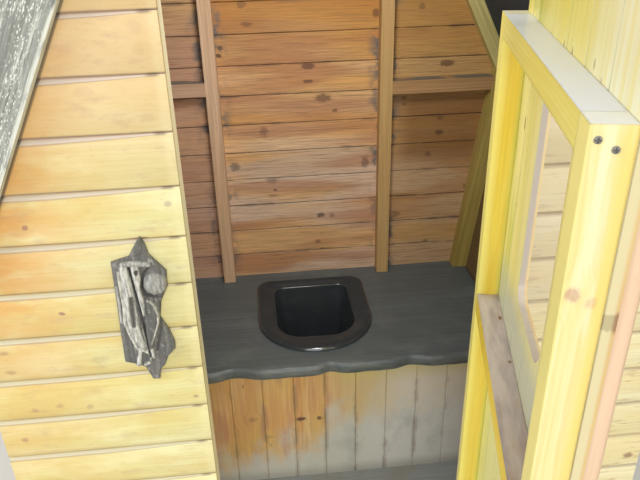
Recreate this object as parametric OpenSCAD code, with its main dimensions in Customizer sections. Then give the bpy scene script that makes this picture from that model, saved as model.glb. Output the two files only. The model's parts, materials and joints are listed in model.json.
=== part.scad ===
// Wooden outhouse: leaning side walls, a steep roof down to the shoulders, and a door that stands open
// X runs to the right, Y into the building and Z up
// The origin lies on the ground in the middle of the base

/* [Base and floor] */
// Height of a base beam
beam_h = 100; // [60:5:150]
// Width of a base beam
beam_w = 90; // [60:5:140]
// Thickness of the floor boards
floor_t = 25; // [18:1:40]
// How far the wall boards hang down over the base beams
wall_lap = 30; // [10:5:50]

/* [Frame] */
// Half the frame's width at the floor
base_half = 497; // [470:1:560]
// Half the frame's width at the shoulders
shoulder_half = 640; // [610:1:720]
// Height of the doorway's top above the shoulders
shoulder_drop = 488; // [400:1:510]
// Height of the roof's inner ridge line above the doorway's top
ridge_rise = 765; // [720:5:1000]
// Depth of the building over its front and back boards
depth = 1002; // [950:1:1200]
// Depth of every frame timber, front to back
timber_d = 42; // [35:1:50]
// Width of a leaning corner post
post_w = 47; // [40:1:60]
// Width of a rafter
rafter_w = 41; // [35:1:60]
// Width of a door post
door_post_w = 38; // [30:1:45]
// Height of the door header
header_h = 40; // [30:1:60]
// Width of a back wall post
back_post_w = 38; // [30:1:60]
// Distance of a back wall post from the centre plane
back_post_x = 259; // [220:1:300]
// Height of a shoulder rail
rail_h = 40; // [30:1:60]
// Distance of the left shoulder rail below the inner corner of post and rafter
rail_left_drop = 4; // [0:1:70]
// Distance of the right shoulder rail below the inner corner of post and rafter
rail_right_drop = 24; // [0:1:70]

/* [Walls and roof] */
// Thickness of the wall boards
clad_t = 13; // [10:1:22]
// Thickness of the roof boards
deck_t = 25; // [18:1:40]
// Clearance of the side boards and the roof boards over the sloping timbers under them
board_gap = 0.2; // [0.1:0.1:1]
// How far the roof runs down past the shoulders
eave_drop = 60; // [30:5:90]
// Width of a barge board
barge_w = 115; // [90:1:160]
// Thickness of a barge board
barge_t = 22; // [15:1:35]
// How far a barge board stands above the roof boards
barge_rise = 30; // [10:1:50]
// Width of a ridge board
ridge_board_w = 95; // [60:1:150]
// Thickness of a ridge board
ridge_board_t = 18; // [12:1:25]

/* [Doorway] */
// Distance of the doorway's left edge from the centre plane
doorway_left = 263; // [240:1:270]
// Distance of the doorway's right edge from the centre plane
doorway_right = 312; // [290:1:315]
// Height of the doorway above the floor
doorway_h = 1600; // [1500:1:1900]

/* [Door] */
// Angle that the door stands open
door_open = 77; // [0:1:105]
// Gap between the door and the doorway, at the hinges and at the top
door_gap = 6; // [5:1:8]
// Gap between the door's free side and the doorway
door_free_gap = 14; // [5:1:18]
// Gap between the door and the floor
door_floor_gap = 8; // [6:1:15]
// Depth of the door's frame timbers
door_frame_d = 37; // [30:1:45]
// Width of a door stile
stile_w = 34; // [30:1:60]
// Height of a door rail
door_rail_h = 33; // [28:1:60]
// Distance of the door's upper rail below the doorway's top
upper_rail_drop = 172; // [50:1:200]
// Top of the door's middle rail above the floor
middle_rail_top = 957; // [800:1:1020]
// Thickness of the upright trim boards on the door's outer side
trim_t = 14; // [10:1:20]
// Width of a trim board
trim_w = 90; // [75:1:110]
// Width of the door's window
window_w = 180; // [120:1:200]
// Distance of the window below the upper rail
window_top_gap = 20; // [10:1:60]
// Distance of the window above the middle rail
window_bottom_gap = 92; // [20:1:110]
// Radius of the window's corners
window_r = 30; // [10:1:60]

/* [Door hardware] */
// Radius of a hinge knuckle
knuckle_r = 6; // [5:0.5:8]
// Radius of a hinge pin
pin_r = 3; // [2:0.5:4]
// Clearance round a hinge pin and between its knuckles
pin_gap = 0.4; // [0.3:0.1:0.8]
// Height of a hinge
hinge_h = 60; // [50:1:90]
// Length of a hinge leaf
leaf_w = 62; // [40:1:70]
// Thickness of a hinge leaf
leaf_t = 3; // [2:0.5:4]
// Bottom of the lower hinge above the floor
hinge_low = 180; // [120:5:300]
// Distance of the upper hinge below the door's top
hinge_top_gap = 234; // [100:2:400]
// Length of the door handle
handle_len = 150; // [100:5:200]
// Radius of the handle's bar
handle_r = 7; // [5:0.5:9]
// Distance of the handle's bar from the trim
handle_reach = 34; // [25:1:45]
// Height of the handle's middle above the floor
handle_height = 930; // [850:5:1000]

/* [Bench] */
// Height of the bench above the floor
bench_h = 436; // [400:1:480]
// Thickness of the bench top
bench_t = 35; // [25:1:45]
// Depth of the bench from the back wall to the face of its front boards
bench_depth = 502; // [480:1:560]
// How far the bench top stands out past its front boards
bench_lip = 32; // [25:1:45]
// Depth of the hollows in the bench top's wavy edge
bench_wave = 17; // [0:1:20]
// Height of the bearers under the bench top
bearer_h = 40; // [30:1:50]
// Thickness of the bearers, front to back
bearer_t = 30; // [25:1:40]

/* [Seat] */
// Half the seat's width, also the radius of its round front
seat_r = 174; // [165:1:185]
// Distance from the middle of the round front back to the seat's rear edge
seat_len = 225; // [215:1:235]
// Distance of the seat from the centre plane
seat_x = 4; // [-20:1:20]
// Radius of the seat's rear corners
seat_corner_r = 45; // [20:1:60]
// Height of the seat's rim above the bench
seat_rim_h = 12; // [8:1:18]
// Radius of the rim's rounded outer edge
seat_edge_r = 8; // [4:1:8]
// Width of the rim's level ring
seat_ring_w = 16; // [10:1:20]
// How far the seat dips from its ring to the tub
seat_dish = 6; // [2:1:7]
// Half the width of the tub's opening
tub_half = 118; // [100:1:125]
// Length of the tub's opening
tub_len = 284; // [260:1:290]
// Distance of the opening's front edge in front of the middle of the round front
tub_front = 104; // [95:1:110]
// Radius of the opening's front corners
tub_front_r = 80; // [40:1:90]
// Radius of the opening's rear corners
tub_rear_r = 28; // [15:1:40]
// Wall thickness of the tub
tub_wall = 4; // [3:0.5:6]
// Depth of the tub below the bench top's surface
tub_depth = 220; // [200:5:300]
// Size of the tub's bottom as a share of its top
tub_taper = 0.65; // [0.5:0.01:0.9]
// Clearance round the tub in the bench top
tub_gap = 3; // [1:0.5:6]

/* [Plaque] */
// Distance of the plaque's middle to the left of the centre plane
plaque_x = 350; // [335:1:400]
// Height of the plaque's middle above the floor
plaque_height = 946; // [850:1:1000]
// Thickness of the plaque's flat back
plaque_t = 8; // [5:1:15]
// Height of the plaque's raised parts above its back
plaque_relief = 9; // [5:1:15]

/* [Hidden] */
$fn = 64;

// Front to back: outer face, frame faces, and the level of the floor
front_y = -depth / 2;
back_y = depth / 2;
frame_front = front_y + clad_t;
frame_back = back_y - clad_t;
floor_z = beam_h + floor_t;
wall_foot = -(floor_t + wall_lap);

// Heights above the floor that follow the doorway
shoulder_h = doorway_h - shoulder_drop;
ridge_h = doorway_h + ridge_rise;

// Slopes of the side walls and of the roof, as sideways run for each unit of height
lean = (shoulder_half - base_half) / shoulder_h;
run = shoulder_half / (ridge_h - shoulder_h);
// Sideways distance for each unit measured square to a wall or to the roof
lean_k = sqrt(1 + lean * lean);
run_k = sqrt(1 + run * run);

// Distance from the centre plane of a line parallel to the wall or the roof, off millimetres outside it,
// at height f above the floor
function wall_x(f, off = 0) = base_half + lean * f + off * lean_k;
function roof_x(f, off = 0) = shoulder_half - run * (f - shoulder_h) + off * run_k;
// Height above the floor where such a roof line reaches distance x from the centre plane
function roof_f(x, off = 0) = shoulder_h + (shoulder_half + off * run_k - x) / run;
// Point where a wall line and a roof line cross
function shoulder_f(a, b) =
    (shoulder_half + run * shoulder_h + b * run_k - base_half - a * lean_k) / (lean + run);
function shoulder_pt(a, b) = [wall_x(shoulder_f(a, b), a), shoulder_f(a, b)];
// Point on a roof line, square across from the roof's lower edge
function eave_pt(off) = [
    roof_x(shoulder_h - eave_drop) + off / run_k,
    shoulder_h - eave_drop + off * run / run_k
];

// Door in its closed place
door_left_x = -doorway_left + door_free_gap;
door_right_x = doorway_right - door_gap;
door_mid_x = (door_left_x + door_right_x) / 2;
door_w = door_right_x - door_left_x;
door_top = doorway_h - door_gap;
upper_rail_top = doorway_h - upper_rail_drop;
window_bottom = middle_rail_top + window_bottom_gap;
window_h = upper_rail_top - door_rail_h - window_top_gap - window_bottom;
hinge_high = door_top - hinge_top_gap - hinge_h;
door_inner_y = front_y + clad_t + door_frame_d;
// Hinge axis, in the middle of the door gap and clear of the trim
hinge_x = doorway_right - door_gap / 2;
hinge_y = front_y - trim_t - knuckle_r;

// Outer faces of the side boards and of the roof boards, measured from the timbers under them
side_out = board_gap + clad_t;
roof_out = board_gap + deck_t;

bench_under = bench_h - bench_t;

bench_front_y = frame_back - bench_depth;
bench_lip_y = bench_front_y - bench_lip;
// Hollows of the bench top's front edge: sideways place, reach, and depth as a share of the deepest
bench_hollows = [[-240, 45, 1], [25, 26, 0.7], [255, 38, 0.8]];

// The seat lies midway between the bench top's front edge and the back wall
// This is the middle of its round front, front to back
seat_round_y = (bench_lip_y + frame_back + seat_r - seat_len) / 2;
// Middle of the tub's opening, front to back
tub_mid_y = seat_round_y + tub_len / 2 - tub_front;
// Height of a slice where a shape runs over from one outline to another
slice_h = 0.01;

// A profile of sideways place and height above the floor, run from y0 back to y1
module along_y(y0, y1) {
    translate([0, y1, floor_z])
        rotate([90, 0, 0])
            linear_extrude(height = y1 - y0)
                children();
}

// The right-hand piece, or its mirror image on the left
module on_side(side) {
    if (side < 0)
        mirror([1, 0, 0]) children();
    else
        children();
}

// A piece of the door, turned with it about the hinge axis
module on_door() {
    translate([hinge_x, hinge_y, floor_z])
        rotate([0, 0, door_open])
            translate([-hinge_x, -hinge_y, 0])
                children();
}

// A block given by its limits on each axis
module block(x, y, z) {
    translate([x[0], y[0], z[0]])
        cube([x[1] - x[0], y[1] - y[0], z[1] - z[0]]);
}

module base_beam(mid_x) {
    color("dimgray")
        block([mid_x - beam_w / 2, mid_x + beam_w / 2], [frame_front, frame_back], [0, beam_h]);
}

module floor_slab() {
    color("gray")
        along_y(frame_front, frame_back)
            polygon([
                [-wall_x(-floor_t), -floor_t], [wall_x(-floor_t), -floor_t],
                [wall_x(0), 0], [-wall_x(0), 0]
            ]);
}

// Space between the two rafters of a pair
module under_rafters() {
    foot = roof_x(0, -rafter_w);
    polygon([[-foot, 0], [foot, 0], [0, roof_f(0, -rafter_w)]]);
}

// Door posts stand on the floor and carry the header, both cut to fit under the rafters
module door_post(x0) {
    color("peru")
        along_y(frame_front, frame_front + timber_d)
            intersection() {
                translate([x0, 0]) square([door_post_w, doorway_h]);
                under_rafters();
            }
}

module door_header() {
    color("peru")
        along_y(frame_front, frame_front + timber_d)
            intersection() {
                translate([-shoulder_half, doorway_h]) square([2 * shoulder_half, header_h]);
                under_rafters();
            }
}

// Back posts rise from the floor to the underside of the rafters
module back_post(side) {
    color("peru")
        on_side(side)
            along_y(frame_back - timber_d, frame_back)
                intersection() {
                    translate([back_post_x - back_post_w / 2, 0]) square([back_post_w, ridge_h]);
                    under_rafters();
                }
}

// Corner posts lean outwards up to the mitre with the rafters
module corner_post(side, y0) {
    color("peru")
        on_side(side)
            along_y(y0, y0 + timber_d)
                polygon([
                    [wall_x(0, -post_w), 0], [wall_x(0), 0],
                    shoulder_pt(0, 0), shoulder_pt(-post_w, -rafter_w)
                ]);
}

module shoulder_rail(side, drop) {
    x0 = back_post_x + back_post_w / 2;
    top = shoulder_f(-post_w, -rafter_w) - drop;
    color("peru")
        on_side(side)
            along_y(frame_back - timber_d, frame_back)
                polygon([
                    [x0, top - rail_h], [wall_x(top - rail_h, -post_w), top - rail_h],
                    [wall_x(top, -post_w), top], [x0, top]
                ]);
}

module rafter(side, y0) {
    color("peru")
        on_side(side)
            along_y(y0, y0 + timber_d)
                polygon([
                    shoulder_pt(-post_w, -rafter_w), shoulder_pt(0, 0),
                    [0, roof_f(0)], [0, roof_f(0, -rafter_w)]
                ]);
}

// Whole outline of the front or back wall, from the boards' lower edge up to the roof boards
// Below the shoulders the boards end upright, and so run out past the leaning side walls
module end_wall_outline() {
    corner = shoulder_pt(side_out, 0);
    half = corner[0];
    polygon([[-half, wall_foot], [half, wall_foot], corner, [0, ridge_h], [-half, corner[1]]]);
}

// One side of the front wall, from the doorway's edge out to the corner and up under the roof
module front_wall_half(side, edge_x) {
    color("khaki")
        on_side(side)
            along_y(front_y, frame_front)
                intersection() {
                    end_wall_outline();
                    translate([edge_x, wall_foot]) square([2 * shoulder_half, doorway_h - wall_foot]);
                }
}

module front_sill() {
    color("khaki")
        block([-doorway_left, doorway_right], [front_y, frame_front], [floor_z + wall_foot, floor_z]);
}

module front_gable() {
    color("khaki")
        along_y(front_y, frame_front)
            intersection() {
                end_wall_outline();
                translate([-shoulder_half, doorway_h]) square([2 * shoulder_half, ridge_h]);
            }
}

module back_wall() {
    color("sienna")
        along_y(frame_back, back_y)
            end_wall_outline();
}

// Side walls lie between the front and back boards, their top edge cut to the roof's slope
module side_wall(side) {
    color("darkgoldenrod")
        on_side(side)
            along_y(frame_front, frame_back)
                polygon([
                    [wall_x(wall_foot, board_gap), wall_foot], [wall_x(wall_foot, side_out), wall_foot],
                    shoulder_pt(side_out, 0), shoulder_pt(board_gap, 0)
                ]);
}

module roof_half(side) {
    color("slategray")
        on_side(side)
            along_y(front_y, back_y)
                polygon([
                    eave_pt(board_gap), eave_pt(roof_out),
                    [0, roof_f(0, roof_out)], [0, roof_f(0, board_gap)]
                ]);
}

// Two boards that meet over the ridge
module ridge_cap() {
    inner = roof_out + board_gap;
    outer = inner + ridge_board_t;
    x_in = ridge_board_w / run_k * run;
    x_out = x_in + ridge_board_t / run_k;
    foot_in = roof_f(x_in, inner);
    foot_out = foot_in + ridge_board_t * run / run_k;
    color("dimgray")
        along_y(front_y, back_y)
            polygon([
                [0, roof_f(0, inner)], [x_in, foot_in], [x_out, foot_out], [0, roof_f(0, outer)],
                [-x_out, foot_out], [-x_in, foot_in]
            ]);
}

// Barge boards cover the ends of the roof boards and meet on the centre plane
module barge_board(side, y0) {
    upper = roof_out + barge_rise;
    lower = upper - barge_w;
    color("silver")
        on_side(side)
            along_y(y0, y0 + barge_t)
                polygon([eave_pt(lower), eave_pt(upper), [0, roof_f(0, upper)], [0, roof_f(0, lower)]]);
}

// The bench top's front edge is a natural one with shallow hollows
function hollow(x, h) = h[2] * exp(-pow((x - h[0]) / h[1], 2));
function all_hollows(x, i = 0) =
    i == len(bench_hollows) ? 0 : hollow(x, bench_hollows[i]) + all_hollows(x, i + 1);
function bench_edge_y(x) = bench_lip_y + bench_wave * all_hollows(x);

// The tub's opening about its own middle, grown on all sides
module tub_outline(grow) {
    half = tub_half + grow;
    reach = tub_len / 2 + grow;
    front_r = tub_front_r + grow;
    rear_r = tub_rear_r + grow;
    translate([-half, front_r - reach]) square([2 * half, 2 * reach - front_r - rear_r]);
    translate([front_r - half, -reach]) square([2 * (half - front_r), reach]);
    translate([rear_r - half, 0]) square([2 * (half - rear_r), reach]);
    for (s = [-1, 1]) {
        translate([s * (half - front_r), front_r - reach]) circle(r = front_r);
        translate([s * (half - rear_r), reach - rear_r]) circle(r = rear_r);
    }
}

// A block that narrows from the tub's opening, at the bench top's surface, down to a depth below it
module tub_block(grow, depth) {
    translate([seat_x, tub_mid_y, 0])
        mirror([0, 0, 1])
            linear_extrude(height = depth, scale = 1 - (1 - tub_taper) * depth / tub_depth)
                tub_outline(grow);
}

module bench_top() {
    half = wall_x(bench_under);
    cut = tub_gap / 4;
    step = 20;
    n = floor(half / step);
    back = frame_back;
    color("dimgray")
        difference() {
            translate([0, 0, floor_z + bench_under])
                linear_extrude(height = bench_t)
                    difference() {
                        polygon(concat(
                            [[half, back], [-half, back], [-half, bench_edge_y(-half)]],
                            [for (i = [-n:n]) [i * step, bench_edge_y(i * step)]],
                            [[half, bench_edge_y(half)]]
                        ));
                        translate([seat_x, tub_mid_y]) tub_outline(tub_wall + tub_gap);
                        for (s = [-1, 1])
                            translate([
                                s * back_post_x - back_post_w / 2 - cut,
                                frame_back - timber_d - cut
                            ])
                                square([back_post_w + 2 * cut, timber_d + 2 * cut]);
                    }
            for (s = [-1, 1])
                on_side(s)
                    along_y(frame_back - timber_d - cut, frame_back + cut)
                        polygon([
                            [wall_x(bench_under - 1, -post_w - cut), bench_under - 1],
                            [wall_x(bench_h + 1, 2 * post_w), bench_under - 1],
                            [wall_x(bench_h + 1, 2 * post_w), bench_h + 1],
                            [wall_x(bench_h + 1, -post_w - cut), bench_h + 1]
                        ]);
        }
}

module bench_front() {
    color("tan")
        along_y(bench_front_y, bench_front_y + clad_t)
            polygon([
                [-wall_x(0), 0], [wall_x(0), 0],
                [wall_x(bench_under), bench_under], [-wall_x(bench_under), bench_under]
            ]);
}

module bench_bearer(y0) {
    low = bench_under - bearer_h;
    color("peru")
        along_y(y0, y0 + bearer_t)
            polygon([
                [-wall_x(low), low], [wall_x(low), low],
                [wall_x(bench_under), bench_under], [-wall_x(bench_under), bench_under]
            ]);
}

// Square behind and half round in front
module seat_outline(grow) {
    r = seat_r + grow;
    len = seat_len + grow;
    corner = seat_corner_r + grow;
    translate([seat_x, seat_round_y]) {
        circle(r = r);
        translate([-r, 0]) square([2 * r, len - corner]);
        translate([-r + corner, 0]) square([2 * (r - corner), len]);
        for (s = [-1, 1])
            translate([s * (r - corner), len - corner]) circle(r = corner);
    }
}

// A thin slice of the seat's outline, at a height above the bench
module seat_slice(grow, z) {
    translate([0, 0, z]) linear_extrude(height = slice_h) seat_outline(grow);
}

// The rim has a rounded outer edge and a level ring, and dips to the tub, which hangs through the bench top
module seat_insert() {
    steps = 3;
    edge_foot = seat_rim_h - slice_h - seat_edge_r;
    color("black")
        translate([0, 0, floor_z + bench_h])
            difference() {
                union() {
                    linear_extrude(height = edge_foot + slice_h) seat_outline(0);
                    for (i = [0:steps - 1])
                        hull()
                            for (turn = [i * 90 / steps, (i + 1) * 90 / steps])
                                seat_slice(-seat_edge_r * (1 - cos(turn)), edge_foot + seat_edge_r * sin(turn));
                    tub_block(tub_wall, tub_depth);
                }
                hull() {
                    seat_slice(-seat_ring_w, seat_rim_h);
                    translate([seat_x, tub_mid_y, seat_rim_h - seat_dish])
                        linear_extrude(height = slice_h) tub_outline(0);
                }
                translate([seat_x, tub_mid_y, -slice_h])
                    linear_extrude(height = seat_rim_h) tub_outline(0);
                tub_block(0, tub_depth - tub_wall);
            }
}

module door_stile(x0) {
    color("gold")
        on_door()
            block([x0, x0 + stile_w], [front_y + clad_t, door_inner_y], [door_floor_gap, upper_rail_top]);
}

module door_rail(top) {
    color("gold")
        on_door()
            block(
                [door_left_x + stile_w, door_right_x - stile_w],
                [front_y + clad_t, door_inner_y],
                [top - door_rail_h, top]
            );
}

module window_outline() {
    half = window_w / 2;
    translate([door_mid_x, window_bottom]) {
        translate([-half, window_r]) square([window_w, window_h - 2 * window_r]);
        translate([-half + window_r, 0]) square([window_w - 2 * window_r, window_h]);
        for (s = [-1, 1], z = [window_r, window_h - window_r])
            translate([s * (half - window_r), z]) circle(r = window_r);
    }
}

module door_boards() {
    color("yellow")
        on_door()
            translate([0, front_y + clad_t, 0])
                rotate([90, 0, 0])
                    linear_extrude(height = clad_t)
                        difference() {
                            translate([door_left_x, door_floor_gap]) square([door_w, door_top - door_floor_gap]);
                            window_outline();
                        }
}

module door_trim(x0) {
    color("khaki")
        on_door()
            block([x0, x0 + trim_w], [front_y - trim_t, front_y], [door_floor_gap, door_top]);
}

// A bar handle on two feet
module door_handle() {
    x = door_left_x + trim_w / 2;
    face_y = front_y - trim_t;
    color("dimgray")
        on_door() {
            translate([x, face_y - handle_reach, handle_height - handle_len / 2])
                cylinder(r = handle_r, h = handle_len);
            for (s = [-1, 1])
                translate([x, face_y, handle_height + s * (handle_len / 2 - 2 * handle_r)])
                    rotate([90, 0, 0]) {
                        cylinder(r = handle_r, h = handle_reach);
                        cylinder(r = 2 * handle_r, h = leaf_t);
                    }
        }
}

// Wall leaf: a plate on the wall, cranked out to the lower knuckle, which carries the pin
module hinge_wall_leaf(low) {
    half = hinge_h / 2;
    plate_x = doorway_right + door_gap;
    color("dimgray")
        translate([0, 0, floor_z + low]) {
            block([plate_x, plate_x + leaf_w], [front_y - leaf_t, front_y], [0, hinge_h]);
            linear_extrude(height = half - pin_gap)
                polygon([
                    [hinge_x, hinge_y - leaf_t / 2], [hinge_x + knuckle_r, hinge_y - leaf_t / 2],
                    [plate_x + leaf_t, front_y - leaf_t / 2], [plate_x, front_y - leaf_t / 2],
                    [hinge_x + leaf_t, hinge_y + leaf_t]
                ]);
            translate([hinge_x, hinge_y, 0]) cylinder(r = knuckle_r, h = half - pin_gap);
            translate([hinge_x, hinge_y, 0]) cylinder(r = pin_r, h = hinge_h);
        }
}

// Door leaf: a plate on the trim with the upper knuckle, which turns on the pin
module hinge_door_leaf(low) {
    half = hinge_h / 2;
    plate_end = door_right_x - leaf_w;
    color("dimgray")
        on_door()
            translate([0, 0, low])
                difference() {
                    union() {
                        block(
                            [plate_end, hinge_x - knuckle_r - 1],
                            [front_y - trim_t - leaf_t, front_y - trim_t],
                            [0, hinge_h]
                        );
                        block(
                            [plate_end, hinge_x],
                            [front_y - trim_t - leaf_t, front_y - trim_t],
                            [half, hinge_h]
                        );
                        translate([hinge_x, hinge_y, half]) cylinder(r = knuckle_r, h = half);
                    }
                    translate([hinge_x, hinge_y, half - 1]) cylinder(r = pin_r + pin_gap, h = half + 2);
                }
}

// Weathered wood with a straight back edge, a knob on top and a ragged right side
// Its outline is measured from the plaque's middle
plaque_outline = [
    [12, 147], [4, 135], [-10, 112], [-41, 103], [-43, 37], [-46, -35], [-48, -100],
    [-27, -107], [-14, -115], [-4, -144], [9, -145], [12, -125], [22, -114], [30, -95],
    [44, -81], [45, -66], [38, -39], [26, -11], [32, 22], [46, 49], [48, 80], [23, 113], [19, 134]
];

module driftwood_plaque() {
    color("darkgray")
        translate([-plaque_x, 0, plaque_height])
            along_y(front_y - plaque_t, front_y)
                polygon(plaque_outline);
    color("darkgray")
        translate([-plaque_x, 0, plaque_height])
            along_y(front_y - plaque_t - plaque_relief, front_y - plaque_t) {
                polygon([[-32, 92], [-18, 98], [6, -20], [10, -98], [-2, -110], [-18, -60]]);
                polygon([[-8, 96], [4, 92], [14, 20], [18, -95], [12, -98], [10, -18]]);
                translate([28, 66]) circle(r = 17);
            }
}

base_beam(beam_w / 2 - wall_x(wall_foot));  // base_beam_left
base_beam(0);  // base_beam_middle
base_beam(wall_x(wall_foot) - beam_w / 2);  // base_beam_right
floor_slab();  // floor
door_post(-doorway_left - door_post_w);  // door_post_left
door_post(doorway_right);  // door_post_right
door_header();
back_post(-1);  // back_post_left
back_post(1);  // back_post_right
corner_post(-1, frame_front);  // corner_post_front_left
corner_post(1, frame_front);  // corner_post_front_right
corner_post(-1, frame_back - timber_d);  // corner_post_back_left
corner_post(1, frame_back - timber_d);  // corner_post_back_right
shoulder_rail(-1, rail_left_drop);  // shoulder_rail_left
shoulder_rail(1, rail_right_drop);  // shoulder_rail_right
rafter(-1, frame_front);  // rafter_front_left
rafter(1, frame_front);  // rafter_front_right
rafter(-1, frame_back - timber_d);  // rafter_back_left
rafter(1, frame_back - timber_d);  // rafter_back_right
front_wall_half(-1, doorway_left);  // front_wall_left
front_wall_half(1, doorway_right);  // front_wall_right
front_sill();
front_gable();
back_wall();
side_wall(-1);  // side_wall_left
side_wall(1);  // side_wall_right
roof_half(-1);  // roof_left
roof_half(1);  // roof_right
ridge_cap();
barge_board(-1, front_y - barge_t);  // barge_board_front_left
barge_board(1, front_y - barge_t);  // barge_board_front_right
barge_board(-1, back_y);  // barge_board_back_left
barge_board(1, back_y);  // barge_board_back_right
bench_top();
bench_front();
bench_bearer(bench_front_y + clad_t);  // bench_bearer_front
bench_bearer(frame_back - timber_d - bearer_t);  // bench_bearer_back
seat_insert();
door_stile(door_right_x - stile_w);  // door_stile_hinge
door_stile(door_left_x);  // door_stile_free
door_rail(upper_rail_top);  // door_rail_upper
door_rail(middle_rail_top);  // door_rail_middle
door_rail(door_floor_gap + door_rail_h);  // door_rail_lower
door_boards();
door_trim(door_right_x - trim_w);  // door_trim_hinge
door_trim(door_left_x);  // door_trim_free
door_handle();
hinge_wall_leaf(hinge_high);  // hinge_wall_leaf_upper
hinge_wall_leaf(hinge_low);  // hinge_wall_leaf_lower
hinge_door_leaf(hinge_high);  // hinge_door_leaf_upper
hinge_door_leaf(hinge_low);  // hinge_door_leaf_lower
driftwood_plaque();
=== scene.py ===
"""A wooden outhouse with leaning side walls, a steep roof and an open door. Metres, Z up, ground at zero."""
import itertools
import json
import math
import random

import bmesh
import bpy
from mathutils import Matrix, Vector


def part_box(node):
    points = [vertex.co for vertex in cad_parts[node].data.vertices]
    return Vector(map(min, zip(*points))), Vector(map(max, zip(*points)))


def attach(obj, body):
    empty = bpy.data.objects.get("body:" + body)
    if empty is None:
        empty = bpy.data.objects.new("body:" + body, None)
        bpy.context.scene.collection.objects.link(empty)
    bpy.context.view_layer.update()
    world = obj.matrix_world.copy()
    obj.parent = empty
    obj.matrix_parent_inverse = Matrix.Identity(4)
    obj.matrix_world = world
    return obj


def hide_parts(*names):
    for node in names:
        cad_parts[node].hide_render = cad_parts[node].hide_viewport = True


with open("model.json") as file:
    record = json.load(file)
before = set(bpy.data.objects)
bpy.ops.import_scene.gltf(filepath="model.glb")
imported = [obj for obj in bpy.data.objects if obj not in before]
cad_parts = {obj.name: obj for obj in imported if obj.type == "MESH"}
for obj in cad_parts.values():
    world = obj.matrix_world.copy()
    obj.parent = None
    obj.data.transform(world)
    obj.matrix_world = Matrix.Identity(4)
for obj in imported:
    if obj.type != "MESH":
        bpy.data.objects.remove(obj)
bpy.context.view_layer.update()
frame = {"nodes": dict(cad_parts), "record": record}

scene = bpy.context.scene
scene.view_settings.view_transform = "Standard"


# The view: a standing person looks down through the open doorway, a step back from it.
# The camera leans a little to its side, as a camera held in the hand does.
camera_place = Vector((-0.131, -1.507, 1.707))
yaw, pitch, roll = (math.radians(a) for a in (5.227, -27.201, -1.416))
forward = Vector((math.sin(yaw) * math.cos(pitch), math.cos(yaw) * math.cos(pitch), math.sin(pitch)))
level = Vector((math.cos(yaw), -math.sin(yaw), 0))
upward = level.cross(forward)
side = math.cos(roll) * level + math.sin(roll) * upward
top = -math.sin(roll) * level + math.cos(roll) * upward
lens = bpy.data.cameras.new("view")
lens.lens = 37.42
lens.sensor_width = 36
lens.clip_start = 0.05
camera = bpy.data.objects.new("view", lens)
camera.matrix_world = Matrix.Translation(camera_place) @ Matrix((side, top, -forward)).transposed().to_4x4()
scene.collection.objects.link(camera)
scene.camera = camera


# Plain soft studio light: a pale world, two low and very soft lights from the front that reach in through the
# doorway to the back wall, wide lamps overhead and at the left, and a small one indoors over the doorway.
def lamp(name, kind, place, aim, power, **form):
    light = bpy.data.lights.new(name, kind)
    light.energy = power
    for key, value in form.items():
        setattr(light, key, value)
    holder = bpy.data.objects.new(name, light)
    holder.location = place
    holder.rotation_euler = (Vector(aim) - Vector(place)).to_track_quat("-Z", "Y").to_euler()
    scene.collection.objects.link(holder)


lamp("far_left_light", "SUN", (-0.4, -4.0, 2.1), (0, 0, 0.9), 0.85, angle=math.radians(45))
lamp("far_right_light", "SUN", (2.1, -4.0, 1.9), (0, 0, 0.9), 0.95, angle=math.radians(45))
lamp("high_lamp", "AREA", (0.0, -1.3, 4.2), (0, -0.7, 1.0), 20, shape="DISK", size=2.0)
lamp("left_lamp", "AREA", (-4.2, -1.9, 2.8), (0.2, -0.7, 1.2), 94, shape="DISK", size=2.2)
lamp("inner_lamp", "AREA", (0.0, -0.29, 1.88), (0.0, 0.45, 1.1), 6.0, shape="DISK", size=0.26)


class Field:
    """A value that changes from place to place. Its sums, products and parts are further nodes of its tree."""

    def __init__(self, socket):
        self.socket, self.tree = socket, socket.id_data

    def math(self, operation, other=None):
        return put(self.tree, "Math", self, other, operation=operation)

    def vector(self, operation, other=None, out=0):
        return put(self.tree, "VectorMath", self, other, out=out, operation=operation)

    def __getitem__(self, axis):
        return put(self.tree, "SeparateXYZ", self, out=axis)

    def __add__(self, other):
        return self.math("ADD", other)

    def __sub__(self, other):
        return self.math("SUBTRACT", other)

    def __mul__(self, other):
        return self.math("MULTIPLY", other)

    def __truediv__(self, other):
        return self.math("DIVIDE", other)

    def __pow__(self, power):
        return self.math("POWER", power)

    def __abs__(self):
        return self.math("ABSOLUTE")


def put(tree, kind, *feeds, out=0, named=None, **settings):
    """One shader node. Each feed is a field to link or a value to set, in the order of the node's inputs."""
    made = tree.nodes.new("ShaderNode" + kind)
    for key, value in settings.items():
        setattr(made, key, value)
    for socket, feed in [*zip(made.inputs, feeds), *((made.inputs[k], v) for k, v in (named or {}).items())]:
        if isinstance(feed, Field):
            tree.links.new(feed.socket, socket)
        elif feed is not None:
            socket.default_value = feed
    return Field(made.outputs[out]) if len(made.outputs) else made


def greater(first, second):
    return first.math("MAXIMUM", second)


world = bpy.data.worlds.new("studio")
scene.world = world
world.use_nodes = True
sky = world.node_tree
sky.nodes.clear()
seen, glossy, clear = (put(sky, "LightPath", out=f"Is {ray} Ray") for ray in ("Camera", "Glossy", "Transmission"))
strength = put(sky, "MapRange", greater(greater(seen, glossy), clear), 0.0, 1.0, 0.42, 1.0)
put(sky, "OutputWorld", put(sky, "Background", (1, 1, 1, 1), strength))


# The ground under the hut is a plain pale floor of the stage.
# It is level and wide enough for every view.
def colour(code):
    """A colour as written on a paint card, made linear."""
    parts = (int(code[i:i + 2], 16) / 255 for i in (1, 3, 5))
    return (*(p / 12.92 if p <= 0.04045 else ((p + 0.055) / 1.055) ** 2.4 for p in parts), 1.0)


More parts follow.
